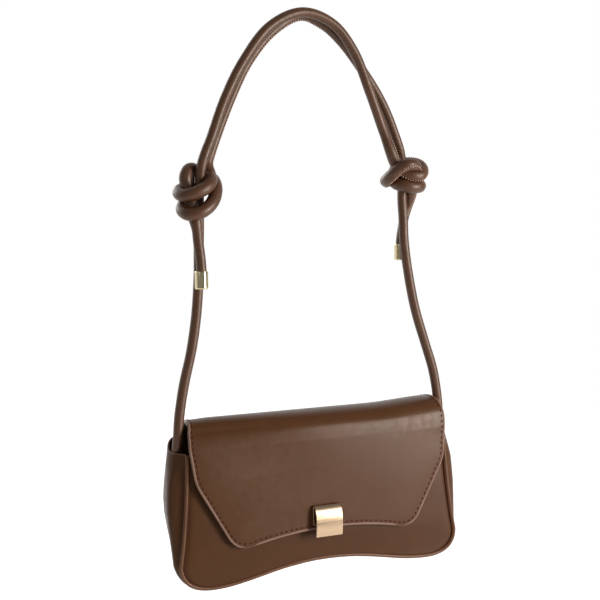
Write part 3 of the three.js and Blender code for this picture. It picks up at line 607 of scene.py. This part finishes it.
# %% Bag materials
def bag_leather(name, dark, light, rough=0.34, shine=0.28):
    """Satin calf leather: cloudy brown, pores, faint wrinkles, and a soft sheen."""
    material, tree, shader = start_material(name, Specular_IOR_Level=shine, Specular_Tint=LEATHER_TINT,
                                            Sheen_Weight=0.12, Sheen_Roughness=0.3)
    place = add(tree, "TexCoord", out="Object")
    # dye clouds of about 30 mm, wrinkles of 5 mm, and pores of 1 mm, twice the real ones so that they show
    cloud = add(tree, "TexNoise", {"Vector": place, "Scale": 1000 / 30, "Detail": 4.0, "Roughness": 0.6})
    wrinkle = add(tree, "TexNoise", {"Vector": place, "Scale": 1000 / 5, "Detail": 5.0})
    pores = add(tree, "TexVoronoi", {"Vector": place, "Scale": 1000 / 1.0}, "Distance")
    tone = add(tree, "Mix", {0: cloud, 6: linear(dark), 7: linear(light)}, 2, data_type="RGBA")
    in_pore = add(tree, "MapRange", {"Value": pores, "From Min": 0.0, "From Max": 0.5,
                                     "To Min": 0.08, "To Max": 0.0})
    height = add(tree, "Math", {0: pores, 1: 0.12, 2: wrinkle}, operation="MULTIPLY_ADD")
    wire(tree, shader, (in_pore, tone, "#24150d"), (wrinkle, rough - 0.05, rough + 0.06), (height, 0.1, 0.4))
    return material


satin_leather = bag_leather("satin_calf_leather", "#4e2d16", "#5b3920")
# the front panel takes a darker copy of the leather with less shine: painted shade for the light the panel
# loses under the flap
painted_shade_panel_leather = bag_leather("panel_calf_leather_painted_shade", "#4a2b14", "#56351e", shine=0.2)
piping_leather = bag_leather("piping_leather", "#5f3e29", "#76523b")
edge_paint = bag_leather("painted_leather_edge", "#826050", "#967766", 0.36)
flap_thread = waxed_thread("flap_thread", "#3a1d0d", "#562d16")

cotton, tree, shader = start_material("lining_cotton", Roughness=0.85, Specular_IOR_Level=0.15,
                                      Sheen_Weight=0.15)
place = add(tree, "TexCoord", out="Object")
# plain weave with threads 0.6 mm apart, drawn at 1.2 mm so that it shows
warp, weft = (add(tree, "TexWave", {"Vector": place, "Scale": wave_scale(1.2), "Distortion": 0.6}, 1,
                  bands_direction=axis) for axis in "XZ")
weave = add(tree, "Math", {0: warp, 1: weft}, operation="MAXIMUM")
wire(tree, shader, (weave, "#241a14", "#4a3a30"), relief=(weave, 0.35, 0.3))
print("made", satin_leather.name, edge_paint.name, cotton.name)

# %% [markdown]
# ## Sheets of leather and cloth
# Every flat piece starts as a grid. Its points are moved to where the cut and sewn piece lies, then
# Solidify gives the thickness inward and Bevel rounds the cut edge. The rim takes the edge paint, and the
# inner side may take a lining. A single curved grid keeps each piece one continuous skin.

# %% The sheet maker
def sheet_piece(name, surface, columns, rows, thickness, materials, outward, rounding=0.45):
    """A sheet from surface(across, down), across from -1 to 1 and down from 0 to 1, in mm on the bag."""
    bpy.ops.object.select_all(action="DESELECT")
    bpy.ops.mesh.primitive_grid_add(x_subdivisions=columns, y_subdivisions=rows, size=2)
    piece = bpy.context.object
    piece.name = name
    flat = np.empty(3 * len(piece.data.vertices))
    piece.data.vertices.foreach_get("co", flat)
    flat = flat.reshape(-1, 3)
    placed = at(surface(flat[:, 0], (1 - flat[:, 1]) / 2))
    piece.data.vertices.foreach_set("co", placed.ravel())
    piece.data.update()
    middle = piece.data.polygons[len(piece.data.polygons) // 2 + columns // 2]
    if middle.normal.dot(Vector(outward)) < 0:
        piece.data.flip_normals()
    for material in materials:
        piece.data.materials.append(material)
    bpy.ops.object.modifier_add(type="SOLIDIFY")
    wall = piece.modifiers[-1]
    wall.thickness, wall.offset = thickness / 1000, -1
    wall.material_offset_rim = min(1, len(materials) - 1)
    wall.material_offset = len(materials) - 1 if len(materials) > 2 else 0
    bpy.ops.object.modifier_apply(modifier=wall.name)
    if rounding:
        bpy.ops.object.modifier_add(type="BEVEL")
        edge = piece.modifiers[-1]
        edge.width, edge.segments, edge.limit_method = rounding / 1000, 3, "ANGLE"
        edge.angle_limit, edge.material = math.radians(50), min(1, len(materials) - 1)
        bpy.ops.object.modifier_apply(modifier=edge.name)
    bpy.ops.object.shade_smooth()
    index = np.empty(len(piece.data.polygons), int)
    piece.data.polygons.foreach_get("material_index", index)
    print(name, "faces by material", np.bincount(index).tolist())
    return piece


# %% [markdown]
# ## The flap
# The flap is one piece of leather with a lining behind it, about 2.7 mm thick together. It is sewn to the
# back, rises over a soft dome, folds over the front and hangs down in a wide point with cut corners. The real
# flap bends open at its root; here one skin runs from the sewn strip to the front edge.

# %% Flap profile and outline
BODY_HEIGHT, FOLD_HEIGHT = 110.0, 112.0
BASE_FRONT, TOP_FRONT, BASE_BACK, TOP_BACK = -26, -21, 2, 18
FLAP_HALF_WIDTH, FLAP_BACK_HALF_WIDTH, FLARE = 112.2, 110.0, 1.2
FLAP_STANDOFF, ROOT_STANDOFF = 6.6, 1.3


def front_at(z):
    """Where the bag's front face is at a height."""
    return BASE_FRONT + (TOP_FRONT - BASE_FRONT) * z / BODY_HEIGHT


def back_at(z):
    """Where its back face is: the bag is thin at the base and deeper at the top."""
    return BASE_BACK + (TOP_BACK - BASE_BACK) * z / BODY_HEIGHT


def flap_face(z):
    """Where the hanging flap's outer face is."""
    return front_at(z) - FLAP_STANDOFF


def root_face(z):
    """Where the outer face of the strip sewn to the back is."""
    return back_at(z) + ROOT_STANDOFF


# the dome, as (share of the way from back to front, height)
DOME = [(0, 112.9), (0.014, 119.6), (0.14, 128.2), (0.348, 133), (0.595, 134.2), (0.812, 131.2),
        (0.951, 123.7), (1, FOLD_HEIGHT)]
back_y, front_y = root_face(BODY_HEIGHT) + 0.8, flap_face(FOLD_HEIGHT)
root_points = [(0, root_face(z), z) for z in (94.3, 100, 106)]
dome_points = [(0, back_y + (front_y - back_y) * share, z) for share, z in DOME]
drop_points = [(0, flap_face(z), z) for z in (108, 104)]
flap_curve = smooth_line(root_points + dome_points + drop_points, 0.25)
flap_run = run_of(flap_curve)
hinge_run = flap_run[np.argmin(np.linalg.norm(flap_curve - dome_points[0], axis=1))]
fold_run = flap_run[np.argmin(np.linalg.norm(flap_curve - dome_points[-1], axis=1))]
print("root, dome mm", round(hinge_run, 1), round(fold_run - hinge_run, 1))


def arc(p0, p1, p2, steps=24):
    """A curve from p0 to p2 that leaves and arrives in line with p1."""
    t = np.linspace(0, 1, steps)[:, None]
    return (1 - t) ** 2 * np.array(p0) + 2 * t * (1 - t) * np.array(p1) + t ** 2 * np.array(p2)


# the right edge of the hanging part, (x, z) from the fold to where the lower edge starts
TIP = np.array([79, 30.1])
drop_edge = even_steps(np.vstack([
    [(FLAP_HALF_WIDTH + FLARE, FOLD_HEIGHT)],
    arc((FLAP_HALF_WIDTH, 96), (FLAP_HALF_WIDTH, 87), (FLAP_HALF_WIDTH - 5, 78.5)),
    arc(TIP + (6.5, 10.4), TIP, TIP + (-11.5, 2.1), 30)]), 0.5)
drop_run = run_of(drop_edge)
flap_total = fold_run + drop_run[-1]


def flap_half_width(run):
    """Half the flap's width along its profile, from the sewn strip to the fold."""
    root = FLAP_BACK_HALF_WIDTH - 3 * np.clip(1 - run / hinge_run, 0, 1) ** 2
    root = root - 5 * ease(-run, -5, 0) ** 2
    dome = ease((run - hinge_run) / (fold_run - hinge_run), 0, 0.6)
    wider = FLAP_HALF_WIDTH + FLARE - FLAP_BACK_HALF_WIDTH
    return np.where(run < hinge_run, root, FLAP_BACK_HALF_WIDTH + wider * dome)


MIDDLE_RISE = 7.4
SPREAD = 0.02


def flap_surface(across, down):
    """The flap's outer face, from the sewn strip over the dome and the fold to the lower edge."""
    run = down * flap_total
    _, y_over, z_over = sample(flap_curve, flap_run, run).T
    hang = np.clip((run - fold_run) / drop_run[-1], 0, 1)
    edge_x, edge_z = sample(drop_edge, drop_run, hang * drop_run[-1]).T
    # the lower edge rises to its middle
    middle = FOLD_HEIGHT + (drop_edge[-1, 1] + MIDDLE_RISE - FOLD_HEIGHT) * hang
    hanging = run >= fold_run
    x = np.where(hanging, edge_x, flap_half_width(run)) * across
    z = np.where(hanging, middle + (edge_z - middle) * across ** 2, z_over)
    y = np.where(hanging, flap_face(z), y_over)
    # the sides curl back a little, and hand shaping leaves the front not quite flat
    front = ease(run, fold_run - 25, fold_run + 10)
    y = y + front * (1.3 * np.abs(across) ** 10 + 0.35 * np.sin(x / 31 + 0.4) * np.sin(z / 27 + 1.0))
    # at its left end the front runs straight up to the ridge, and spreads a little at the fold
    left = ease(-across, 0, 1)
    y = y + left * np.interp(run - fold_run, [-40, -14, 0, 12, 30], [0, 6.5, 3, 1.6, 0])
    x = x - left * np.interp(run - fold_run, [-20, 0, 20], [0, 1, 0])
    x = x * (1 + SPREAD * ease(run, fold_run - 30, fold_run - 6))
    # the dome stands a little higher at its right end and droops at the left one
    dome = ease(run, hinge_run, hinge_run + 20) * (1 - ease(run, fold_run - 22, fold_run))
    z = z + dome * (2.6 * ease(across, 0.45, 1) - 0.8 * ease(-across, 0.8, 1))
    return np.column_stack([x, y, z])


FLAP_WALL = 2.7
flap = sheet_piece("flap", flap_surface, 120, 170, FLAP_WALL, [satin_leather, edge_paint, cotton],
                   (0, -0.3, 1), 0)

# %% [markdown]
# ## The flap's painted edge and stitching
# The flap's cut edge is painted in several coats, which leaves a smooth raised rim a little lighter than
# the leather. Like the piping it is a thin roll, and it follows the flap's own edge. A dark thread runs
# 3 mm inside that edge, five or six stitches to the inch, so its row is the same line moved inward. Two more
# rows hold the flap to the back.

# %% Painted rim and flap stitches
RIM_RADIUS, RIM_INSET, RIM_DEPTH = 1.2, 0.7, 1.0
ROW_INSET, ROOT_ROWS = 3.0, (4.5, 12.5)
FLAP_STITCH, FLAP_PITCH, ROOT_PITCH, FLAP_SLANT = (2.7, 1.6, 0.9), 4.6, 4.5, 0.12


def on_flap(across, down):
    """Points of the flap's outer face and the directions that point away from it."""
    here = flap_surface(across, down)
    step = 1e-3
    over = flap_surface(across + step, down) - here
    along = flap_surface(across, down + step) - here
    return here, unit(np.cross(along, over))


# the border runs down the left side, along the lower edge and up the right side
SIDE_POINTS, LOW_POINTS = 300, 200
side_run = np.linspace(hinge_run + 4, flap_total, SIDE_POINTS)
right_side = np.ones(SIDE_POINTS)
border_across = np.concatenate([-right_side, np.linspace(-1, 1, LOW_POINTS + 2)[1:-1], right_side])
border_down = np.concatenate([side_run, np.full(LOW_POINTS, flap_total), side_run[::-1]]) / flap_total
border = flap_surface(border_across, border_down)
border_out = on_flap(border_across * 0.9, np.minimum(border_down, 0.93))[1]
border_run = run_of(border)
places = np.arange(0, border_run[-1], 0.8)
border, border_out = (sample(values, border_run, places) for values in (border, border_out))
border_in = unit(np.cross(border_out, np.gradient(border, axis=0)))
rim = roll_tube("flap_rim", border + RIM_INSET * border_in - RIM_DEPTH * border_out, RIM_RADIUS, edge_paint)
# the row is laid onto the flap's mesh, each point dropped to the nearest place on it
flap_mesh = BVHTree.FromPolygons([v.co for v in flap.data.vertices],
                                 [tuple(f.vertices) for f in flap.data.polygons])
above = at(border + ROW_INSET * border_in + border_out)
row = 1000 * np.array([flap_mesh.find_nearest(Vector(p))[0] for p in above]) + HOOK_SEAT
flap_stitches = stitch_row("flap_stitches", row, border_out, FLAP_PITCH, FLAP_STITCH, flap_thread, FLAP_SLANT)
root_across = np.linspace(-0.95, 0.95, 120)
root_stitches = []
for i, run in enumerate(ROOT_ROWS):
    row, row_out = on_flap(root_across, np.full(len(root_across), run / flap_total))
    root_stitches.append(stitch_row("root_stitches_%d" % i, row, row_out, ROOT_PITCH, FLAP_STITCH,
                                    flap_thread, FLAP_SLANT))

hinge_start, hinge_end = at((0, 21, 112)).tolist(), at((0, 14.5, 114)).tolist()
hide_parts("flap_leather", "flap_lining", "flap_root")
for piece in (flap, rim, flap_stitches):
    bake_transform(piece)
for piece in root_stitches:
    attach(piece, "bag")

# %% [markdown]
# ## Panels, gusset and piping
# Front and back are cut to one outline: flared sides, round lower corners and a lower edge that arches up
# in the middle. A strip of leather, the gusset, runs round both sides and the bottom and bulges outward.
# The seams are covered by piping, a thin roll of leather. Panels swell a little and turn in at their seams.

# %% The outline
TOP_HALF_WIDTH, BASE_HALF_WIDTH, CORNER_HEIGHT = 116.7, 125, 22
LOBE_X, ARCH_RISE = 97, 11.5
OUTLINE_STEP = 0.5


def bezier(p0, p1, p2, p3, steps=60):
    """A curve from p0 to p3 that leaves towards p1 and arrives from p2."""
    t = np.linspace(0, 1, steps)[:, None]
    return ((1 - t) ** 3 * np.array(p0) + 3 * t * (1 - t) ** 2 * np.array(p1)
            + 3 * t ** 2 * (1 - t) * np.array(p2) + t ** 3 * np.array(p3))


def panel_side(inset):
    """The right side, (x, z) from the top to the lowest point of the lower corner."""
    top, waist = (TOP_HALF_WIDTH - inset, BODY_HEIGHT - inset), (119 - inset, 55)
    corner, lobe = (BASE_HALF_WIDTH - inset, CORNER_HEIGHT), (LOBE_X - inset / 2, inset)
    turn = bezier(corner, (corner[0], 8 + inset), (lobe[0] + 19, lobe[1]), lobe)
    return even_steps(np.vstack([arc(top, waist, corner, 60), turn[1:]]), OUTLINE_STEP)


def panel_base(inset):
    """The lower edge, (x, z) from the right lobe to the raised middle."""
    lobe, crown = (LOBE_X - inset / 2, inset), ARCH_RISE + inset
    arch = bezier(lobe, (0.68 * lobe[0], lobe[1]), (0.45 * lobe[0], crown), (0, crown), 90)
    return even_steps(arch, OUTLINE_STEP)


def panel_round(inset):
    """The whole edge, from the left top round the base to the right top."""
    half = np.vstack([panel_side(inset), panel_base(inset)[1:]])
    return even_steps(np.vstack([half * (-1, 1), half[::-1][1:]]), OUTLINE_STEP)


def panel_points(across, down, inset):
    """Points that fill the outline, rows following its sides and base."""
    side, base = panel_side(inset), panel_base(inset)
    run = run_of(side)
    x, z = sample(side, run, down * run[-1]).T
    top, low = side[0, 1], side[-1, 1]
    floor = np.interp(np.abs(across) * base[0, 0], base[::-1, 0], base[::-1, 1])
    return x * across, top - (top - floor) * (top - z) / (top - low)


def drawn_in(x, z, share):
    """The filled bag spreads a little at the front, and its lower corners are drawn in towards the back."""
    return x * (1 + SPREAD * (1 - share) - 0.035 * share * (1 - ease(z, 0, 70)))


def face_at(side, z):
    """The front face where side is -1, and the back face where it is 1."""
    return front_at(z) if side < 0 else back_at(z)


def panel_surface(side, inset, gap, swell=0, turn_in=0):
    """A panel's outer face, gap mm below the bag's, swelling in its middle and turned in at its seams."""
    def surface(across, down):
        x, z = panel_points(across, down, inset)
        puff = swell * (1 - across ** 4) * ease(z, 5, 35) * (1 - ease(z, 60, 92))
        seam = turn_in * np.maximum(ease(np.abs(across), 0.975, 1), ease(down, 0.965, 1))
        y = face_at(side, z) + side * (puff - gap - seam)
        return np.column_stack([drawn_in(x, z, side > 0), y, z])
    return surface


FORWARD, BACKWARD, DOWNWARD = (0, -1, 0), (0, 1, 0), (0, 0, -1)
LEATHER, CLOTH, CLOTH_ROUNDING = 1.6, 0.8, 0.2
front_panel = sheet_piece("front_leather", panel_surface(-1, 3.0, gap=0.6, swell=1.2, turn_in=1.5), 110, 80,
                          LEATHER, [painted_shade_panel_leather, edge_paint], FORWARD)
back_panel = sheet_piece("back_leather", panel_surface(1, 3.0, gap=0.6, swell=1.0, turn_in=1.5), 110, 80,
                         LEATHER, [satin_leather, edge_paint], BACKWARD)
lining_front = sheet_piece("lining_front_cloth", panel_surface(-1, 5, gap=3.6), 60, 50, CLOTH, [cotton],
                           FORWARD, CLOTH_ROUNDING)
lining_back = sheet_piece("lining_back_cloth", panel_surface(1, 5, gap=2.5), 60, 50, CLOTH, [cotton],
                          BACKWARD, CLOTH_ROUNDING)

# %% The gusset and its lining
# how far the strip bulges along its front and its back edge, as (height, mm)
FRONT_BULGE = [(0, 1), (12, 3.5), (24, 6.5), (36, 9), (48, 10.8), (60, 12), (84, 12.5), (96, 11.2),
               (110, 9.6)]
BACK_BULGE = [(0, 0.4), (12, 0.8), (24, 2.2), (36, 5), (48, 8.4), (60, 11.2), (72, 12.6), (96, 11.2),
              (110, 9.6)]


def band_surface(edge, front_gap, back_gap, share=0, rise=0):
    """A strip across the bag's depth along an edge, from the left top to the right top. share is how much of
    the bulges it takes, and rise is how far its ends climb towards the back."""
    run = run_of(edge)
    along = unit(np.gradient(edge, axis=0))
    outward = np.column_stack([along[:, 1], -along[:, 0]])

    def surface(across, down):
        place = down * run[-1]
        x, z = sample(edge, run, place).T
        out_x, out_z = sample(outward, run, place).T
        top = ease(z, 80, 110)
        back_share = (across + 1) / 2
        bulge = (np.interp(z, *zip(*FRONT_BULGE)) * (1 - back_share)
                 + np.interp(z, *zip(*BACK_BULGE)) * back_share)
        bulge = share * bulge * (1 - across ** 2 * (top + (1 - top) * across ** 2))
        front, rear = front_at(z) + front_gap, back_at(z) - back_gap
        # the leather dimples a little where it turns the lower corners
        bulge = bulge + share * 0.4 * np.sin(place / 9) * np.exp(-((z - 14) / 14) ** 2) * (1 - across ** 2)
        # the strip's end slopes up towards the back
        z = z + rise * top * ease(across, -0.4, 1)
        x = drawn_in(x + bulge * out_x, z, back_share)
        return np.column_stack([x, front + (rear - front) * back_share, z + bulge * out_z])
    return surface


gusset = sheet_piece("gusset_leather", band_surface(panel_round(1.0), 3.0, 3.0, share=1, rise=9), 36, 330,
                     LEATHER, [satin_leather, edge_paint], DOWNWARD, 0.6)
lining_gusset = sheet_piece("lining_gusset_cloth", band_surface(panel_round(5.0), 4.7, 3.6), 16, 160, CLOTH,
                            [cotton], DOWNWARD, CLOTH_ROUNDING)

# %% Piping
# SEAM_SHADE_RADIUS is the radius of the thin dark roll that paints shade into each seam's crease
PIPING_RADIUS, SEAM_SHADE_RADIUS = 1.55, 0.62
# the back roll's ends stand up and curl forward beside the strap
CURL = np.array([(0.4, -0.6, 5), (0.9, -1.8, 9), (1.6, -5, 10.5), (2.2, -7.5, 8.5)])


def seam_route(side, inset, depth):
    """A line round a panel, inset mm inside its edge and depth mm below its face."""
    x, z = panel_round(inset).T
    return np.column_stack([drawn_in(x, z, side > 0), face_at(side, z) - side * depth, z])


pipings = []
for word, side in (("front", -1), ("back", 1)):
    route = seam_route(side, 1.5, 1.5)
    if side > 0:
        ends = route[0] + CURL[::-1], route[-1] + CURL * (-1, 1, 1)
        route = smooth_line(np.vstack([ends[0], route[4:-4:6], ends[1]]), 0.6)
    pipings.append(roll_tube(word + "_piping_roll", even_steps(route, 1.2), PIPING_RADIUS, piping_leather))
    print(pipings[-1].name, len(pipings[-1].data.polygons))

# painted shade: a thin dark roll, coloured like the thread, fills the crease between each panel and its roll
for word, side in (("front", -1), ("back", 1)):
    route = even_steps(seam_route(side, 3.2, 1.0), 1.5)
    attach(roll_tube(word + "_seam_shade_line", route, SEAM_SHADE_RADIUS, flap_thread), "bag")

for piece, node in ((front_panel, "front_panel"), (back_panel, "back_panel"), (gusset, "gusset"),
                    (lining_front, "lining_front"), (lining_back, "lining_back"),
                    (lining_gusset, "lining_gusset"), (pipings[0], "front_piping"),
                    (pipings[1], "back_piping")):
    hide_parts(node)
    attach(piece, "bag")

# %% [markdown]
# ## The patches that hold the cord ends
# Inside the gusset a small leather patch is sewn over the end of each cord. It is a plain rectangle with
# its edge painted, and it shows only when the flap is open.

# %% Strap patches
PATCH_X, PATCH_Y, PATCH_TOP = ANCHOR_X - 3.3, -4, 107
PATCH_HALF_WIDTH, PATCH_HEIGHT, PATCH_WALL = 9, 28, 1.2


def patch_surface(side):
    """An upright rectangle inside one side of the gusset."""
    def surface(across, down):
        x = np.full(len(across), side * PATCH_X)
        return np.column_stack([x, PATCH_Y + PATCH_HALF_WIDTH * across, PATCH_TOP - PATCH_HEIGHT * down])
    return surface


for word, side in (("left", -1), ("right", 1)):
    patch = sheet_piece(word + "_cord_patch", patch_surface(side), 18, 28, PATCH_WALL,
                        [satin_leather, edge_paint], (side, 0, 0), 0.4)
    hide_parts(word + "_strap_patch")
    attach(patch, "bag")

# %% [markdown]
# ## The clasp
# The clasp is a strip of brass, rolled over at the top and curved down past the flap's edge, brushed across
# its width and plated pale gold. Brushing leaves fine level lines that spread the light up and down. A
# magnet in the cup on the front panel holds a steel plate behind the flap.

# %% Brushed gold and the plate
brushed_gold, tree, shader = start_material("brushed_pale_gold", Metallic=1.0,
                                            Specular_Tint=linear("#a8844e"))
place = add(tree, "TexCoord", out="Object")
# brush lines 0.2 mm apart and some 40 mm long, drawn at 0.5 mm so that they show
stretch = add(tree, "Mapping", {"Vector": place, "Scale": (1000 / 40, 1000 / 2, 1000 / 0.5)})
brushed = add(tree, "TexNoise", {"Vector": stretch, "Scale": 1.0, "Detail": 3.0})
wire(tree, shader, (brushed, "#ba9b7c", "#d1b899"), (brushed, 0.19, 0.26), (brushed, 0.07, 0.2))

LEAN = math.atan((TOP_FRONT - BASE_FRONT) / BODY_HEIGHT)
CATCH_HEIGHT = 50.0
CLASP_HALF_WIDTH, CLASP_X, CLASP_WALL, CLASP_CORNER = 12, -2.0, 1.1, 0.7
SEAT_OUT, SEAT_LOW, ROLL_HEIGHT, ROLL_RADIUS = 0.85, 43, 57.2, 1.2
# the strip's middle line, (out from the flap, height): up the flap, over the roll and down in front
turn = np.linspace(math.pi, math.pi / 4, 40)
seat_line = np.column_stack([np.full(20, SEAT_OUT), np.linspace(SEAT_LOW, ROLL_HEIGHT, 20)])
roll_line = np.column_stack([SEAT_OUT + ROLL_RADIUS * (1 + np.cos(turn)),
                             ROLL_HEIGHT + ROLL_RADIUS * np.sin(turn)])
fall_line = bezier(roll_line[-1], roll_line[-1] + (3.5, -3.5), (7, 45), (5.2, 33.6))
clasp_line = even_steps(np.vstack([seat_line, roll_line[1:], fall_line[1:]]), 0.1)
clasp_run = run_of(clasp_line)
clasp_along = unit(np.gradient(clasp_line, axis=0))


def clasp_surface(across, down):
    """The plate's outer face, half a wall off the middle line, with round corners, leaning with the flap."""
    place = down * clasp_run[-1]
    out, z = sample(clasp_line, clasp_run, place).T
    t_out, t_z = sample(clasp_along, clasp_run, place).T
    out, rise = out - CLASP_WALL / 2 * t_z, z + CLASP_WALL / 2 * t_out - CATCH_HEIGHT
    to_end = np.clip(np.minimum(place, clasp_run[-1] - place) / CLASP_CORNER, 0, 1)
    narrow = CLASP_CORNER * (1 - np.sqrt(np.clip(1 - (1 - to_end) ** 2, 0, 1)))
    x = across * (CLASP_HALF_WIDTH - narrow) + CLASP_X
    y = flap_face(CATCH_HEIGHT) - out * math.cos(LEAN) + rise * math.sin(LEAN)
    return np.column_stack([x, y, CATCH_HEIGHT + out * math.sin(LEAN) + rise * math.cos(LEAN)])


clasp = sheet_piece("clasp", clasp_surface, 40, 160, CLASP_WALL, [brushed_gold], (0, -0.2, 1), 0.35)
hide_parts("clasp_plate")
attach(clasp, "flap")

# %% The hidden fittings
def fitting_material(name, grain, detail, colours, roughness, **sockets):
    """A dense material whose tone and gloss vary with a grain of some mm."""
    material, tree, shader = start_material(name, **sockets)
    place = add(tree, "TexCoord", out="Object")
    grit = add(tree, "TexNoise", {"Vector": place, "Scale": 1000 / grain, "Detail": detail})
    wire(tree, shader, (grit, *colours), (grit, *roughness), span=(0, 1))
    return material


# ground steel is bright, with a fine grain; a ferrite magnet is dark and dull, with coarser grit
satin_steel = fitting_material("satin_steel", 0.5, 2.0, ("#a9a7a2", "#c6c4bf"), (0.28, 0.42), Metallic=1.0)
ferrite = fitting_material("ferrite_magnet", 0.7, 4.0, ("#38383a", "#58585c"), (0.5, 0.7),
                           Specular_IOR_Level=0.4)
for name, material in (("catch_cup", polished_gold), ("catch_magnet", ferrite), ("catch_washer", satin_steel),
                       ("clasp_keeper", satin_steel), ("left_clasp_screw", satin_steel),
                       ("right_clasp_screw", satin_steel)):
    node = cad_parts[name]
    node.data.materials.clear()
    node.data.materials.append(material)
print("fittings finished")

# %% [markdown]
# ## Floor, light and background
# The bag hangs in front of white, so the floor is white and lies well below it. One tall soft lamp stands
# to the right of the front, where the leather mirrors it towards the camera: its lower end gives the
# lighter band under the fold, and above it the room is dim, which leaves the top of the fold dark. Metal
# mirrors the white backdrop behind the bag and the dim room in front of it. An even world fills the
# shadows.

# %% Floor
FLOOR_SIZE, FLOOR_PLACE = 2.6, (0, 0.6, -0.60)


def ray_kinds(tree):
    """Two outputs that are 1 for rays from the camera, and for rays that were mirrored or bent."""
    rays = add(tree, "LightPath").node.outputs
    bent = add(tree, "Math", {0: rays["Is Glossy Ray"], 1: rays["Is Transmission Ray"]}, operation="MAXIMUM")
    return rays["Is Camera Ray"], bent


bpy.ops.object.select_all(action="DESELECT")
bpy.ops.mesh.primitive_plane_add(size=FLOOR_SIZE, location=(0, 0, 0))
floor = bpy.context.object
floor.name = "floor"
bpy.ops.object.mode_set(mode="EDIT")
bpy.ops.mesh.select_all(action="SELECT")
bpy.ops.transform.translate(value=FLOOR_PLACE)
bpy.ops.object.mode_set(mode="OBJECT")
# matt white, with a glow for the camera and for mirrors that makes it as white as the background
white_floor, tree, shader = start_material("matt_white_floor", Roughness=0.9, Specular_IOR_Level=0.1,
                                           Base_Color=linear("#ececec"), Emission_Color=(1, 1, 1, 1))
seen, bent = ray_kinds(tree)
bent = add(tree, "Math", {0: bent, 1: 0.6}, operation="MULTIPLY")
glow = add(tree, "Math", {0: seen, 1: 0.78, 2: bent}, operation="MULTIPLY_ADD")
tree.links.new(glow, shader.inputs["Emission Strength"])
floor.data.materials.append(white_floor)

# %% World and lamps
world = bpy.data.worlds.new("studio")
bpy.context.scene.world = world
world.use_nodes = True
tree = world.node_tree
background = tree.nodes["Background"]
background.inputs["Color"].default_value = (1, 1, 1, 1)
seen, bent = ray_kinds(tree)
heading = add(tree, "SeparateXYZ", {"Vector": add(tree, "TexCoord", out="Generated")}).node.outputs
# mirrors see a white backdrop behind the bag, a dim room before it and a slightly dimmer ceiling
backdrop = add(tree, "MapRange", {"Value": heading["Y"], "From Min": -0.05, "From Max": 0.55,
                                  "To Min": 0.26, "To Max": 1.0})
ceiling = add(tree, "MapRange", {"Value": heading["Z"], "From Min": 0.15, "From Max": 0.6,
                                 "To Min": 1.0, "To Max": 0.9})
room = add(tree, "Math", {0: backdrop, 1: ceiling}, operation="MULTIPLY")
mirrored = add(tree, "Mix", {0: bent, 2: 0.25, 3: room}, data_type="FLOAT")
strength = add(tree, "Mix", {0: seen, 2: mirrored, 3: 1.0}, data_type="FLOAT")
tree.links.new(strength, background.inputs["Strength"])


def soft_lamp(name, place, aim, width, height, power):
    """A soft box that faces a point."""
    bpy.ops.object.select_all(action="DESELECT")
    bpy.ops.object.light_add(type="AREA", location=place)
    lamp = bpy.context.object
    lamp.name = name
    lamp.data.shape, lamp.data.size, lamp.data.size_y, lamp.data.energy = "RECTANGLE", width, height, power
    lamp.rotation_euler = (Vector(aim) - Vector(place)).to_track_quat("-Z", "Y").to_euler()


AIM = (0.007, 0.0, -0.33)
soft_lamp("tall_front_lamp", (1.01, -1.23, -0.1), AIM, 0.56, 0.82, 25)
soft_lamp("left_fill_lamp", (-1.6, -0.8, 0.2), AIM, 0.8, 0.8, 1)
soft_lamp("back_lamp", (-0.5, 1.7, 0.35), AIM, 1.2, 0.9, 12)
bpy.context.scene.view_settings.view_transform = "Standard"
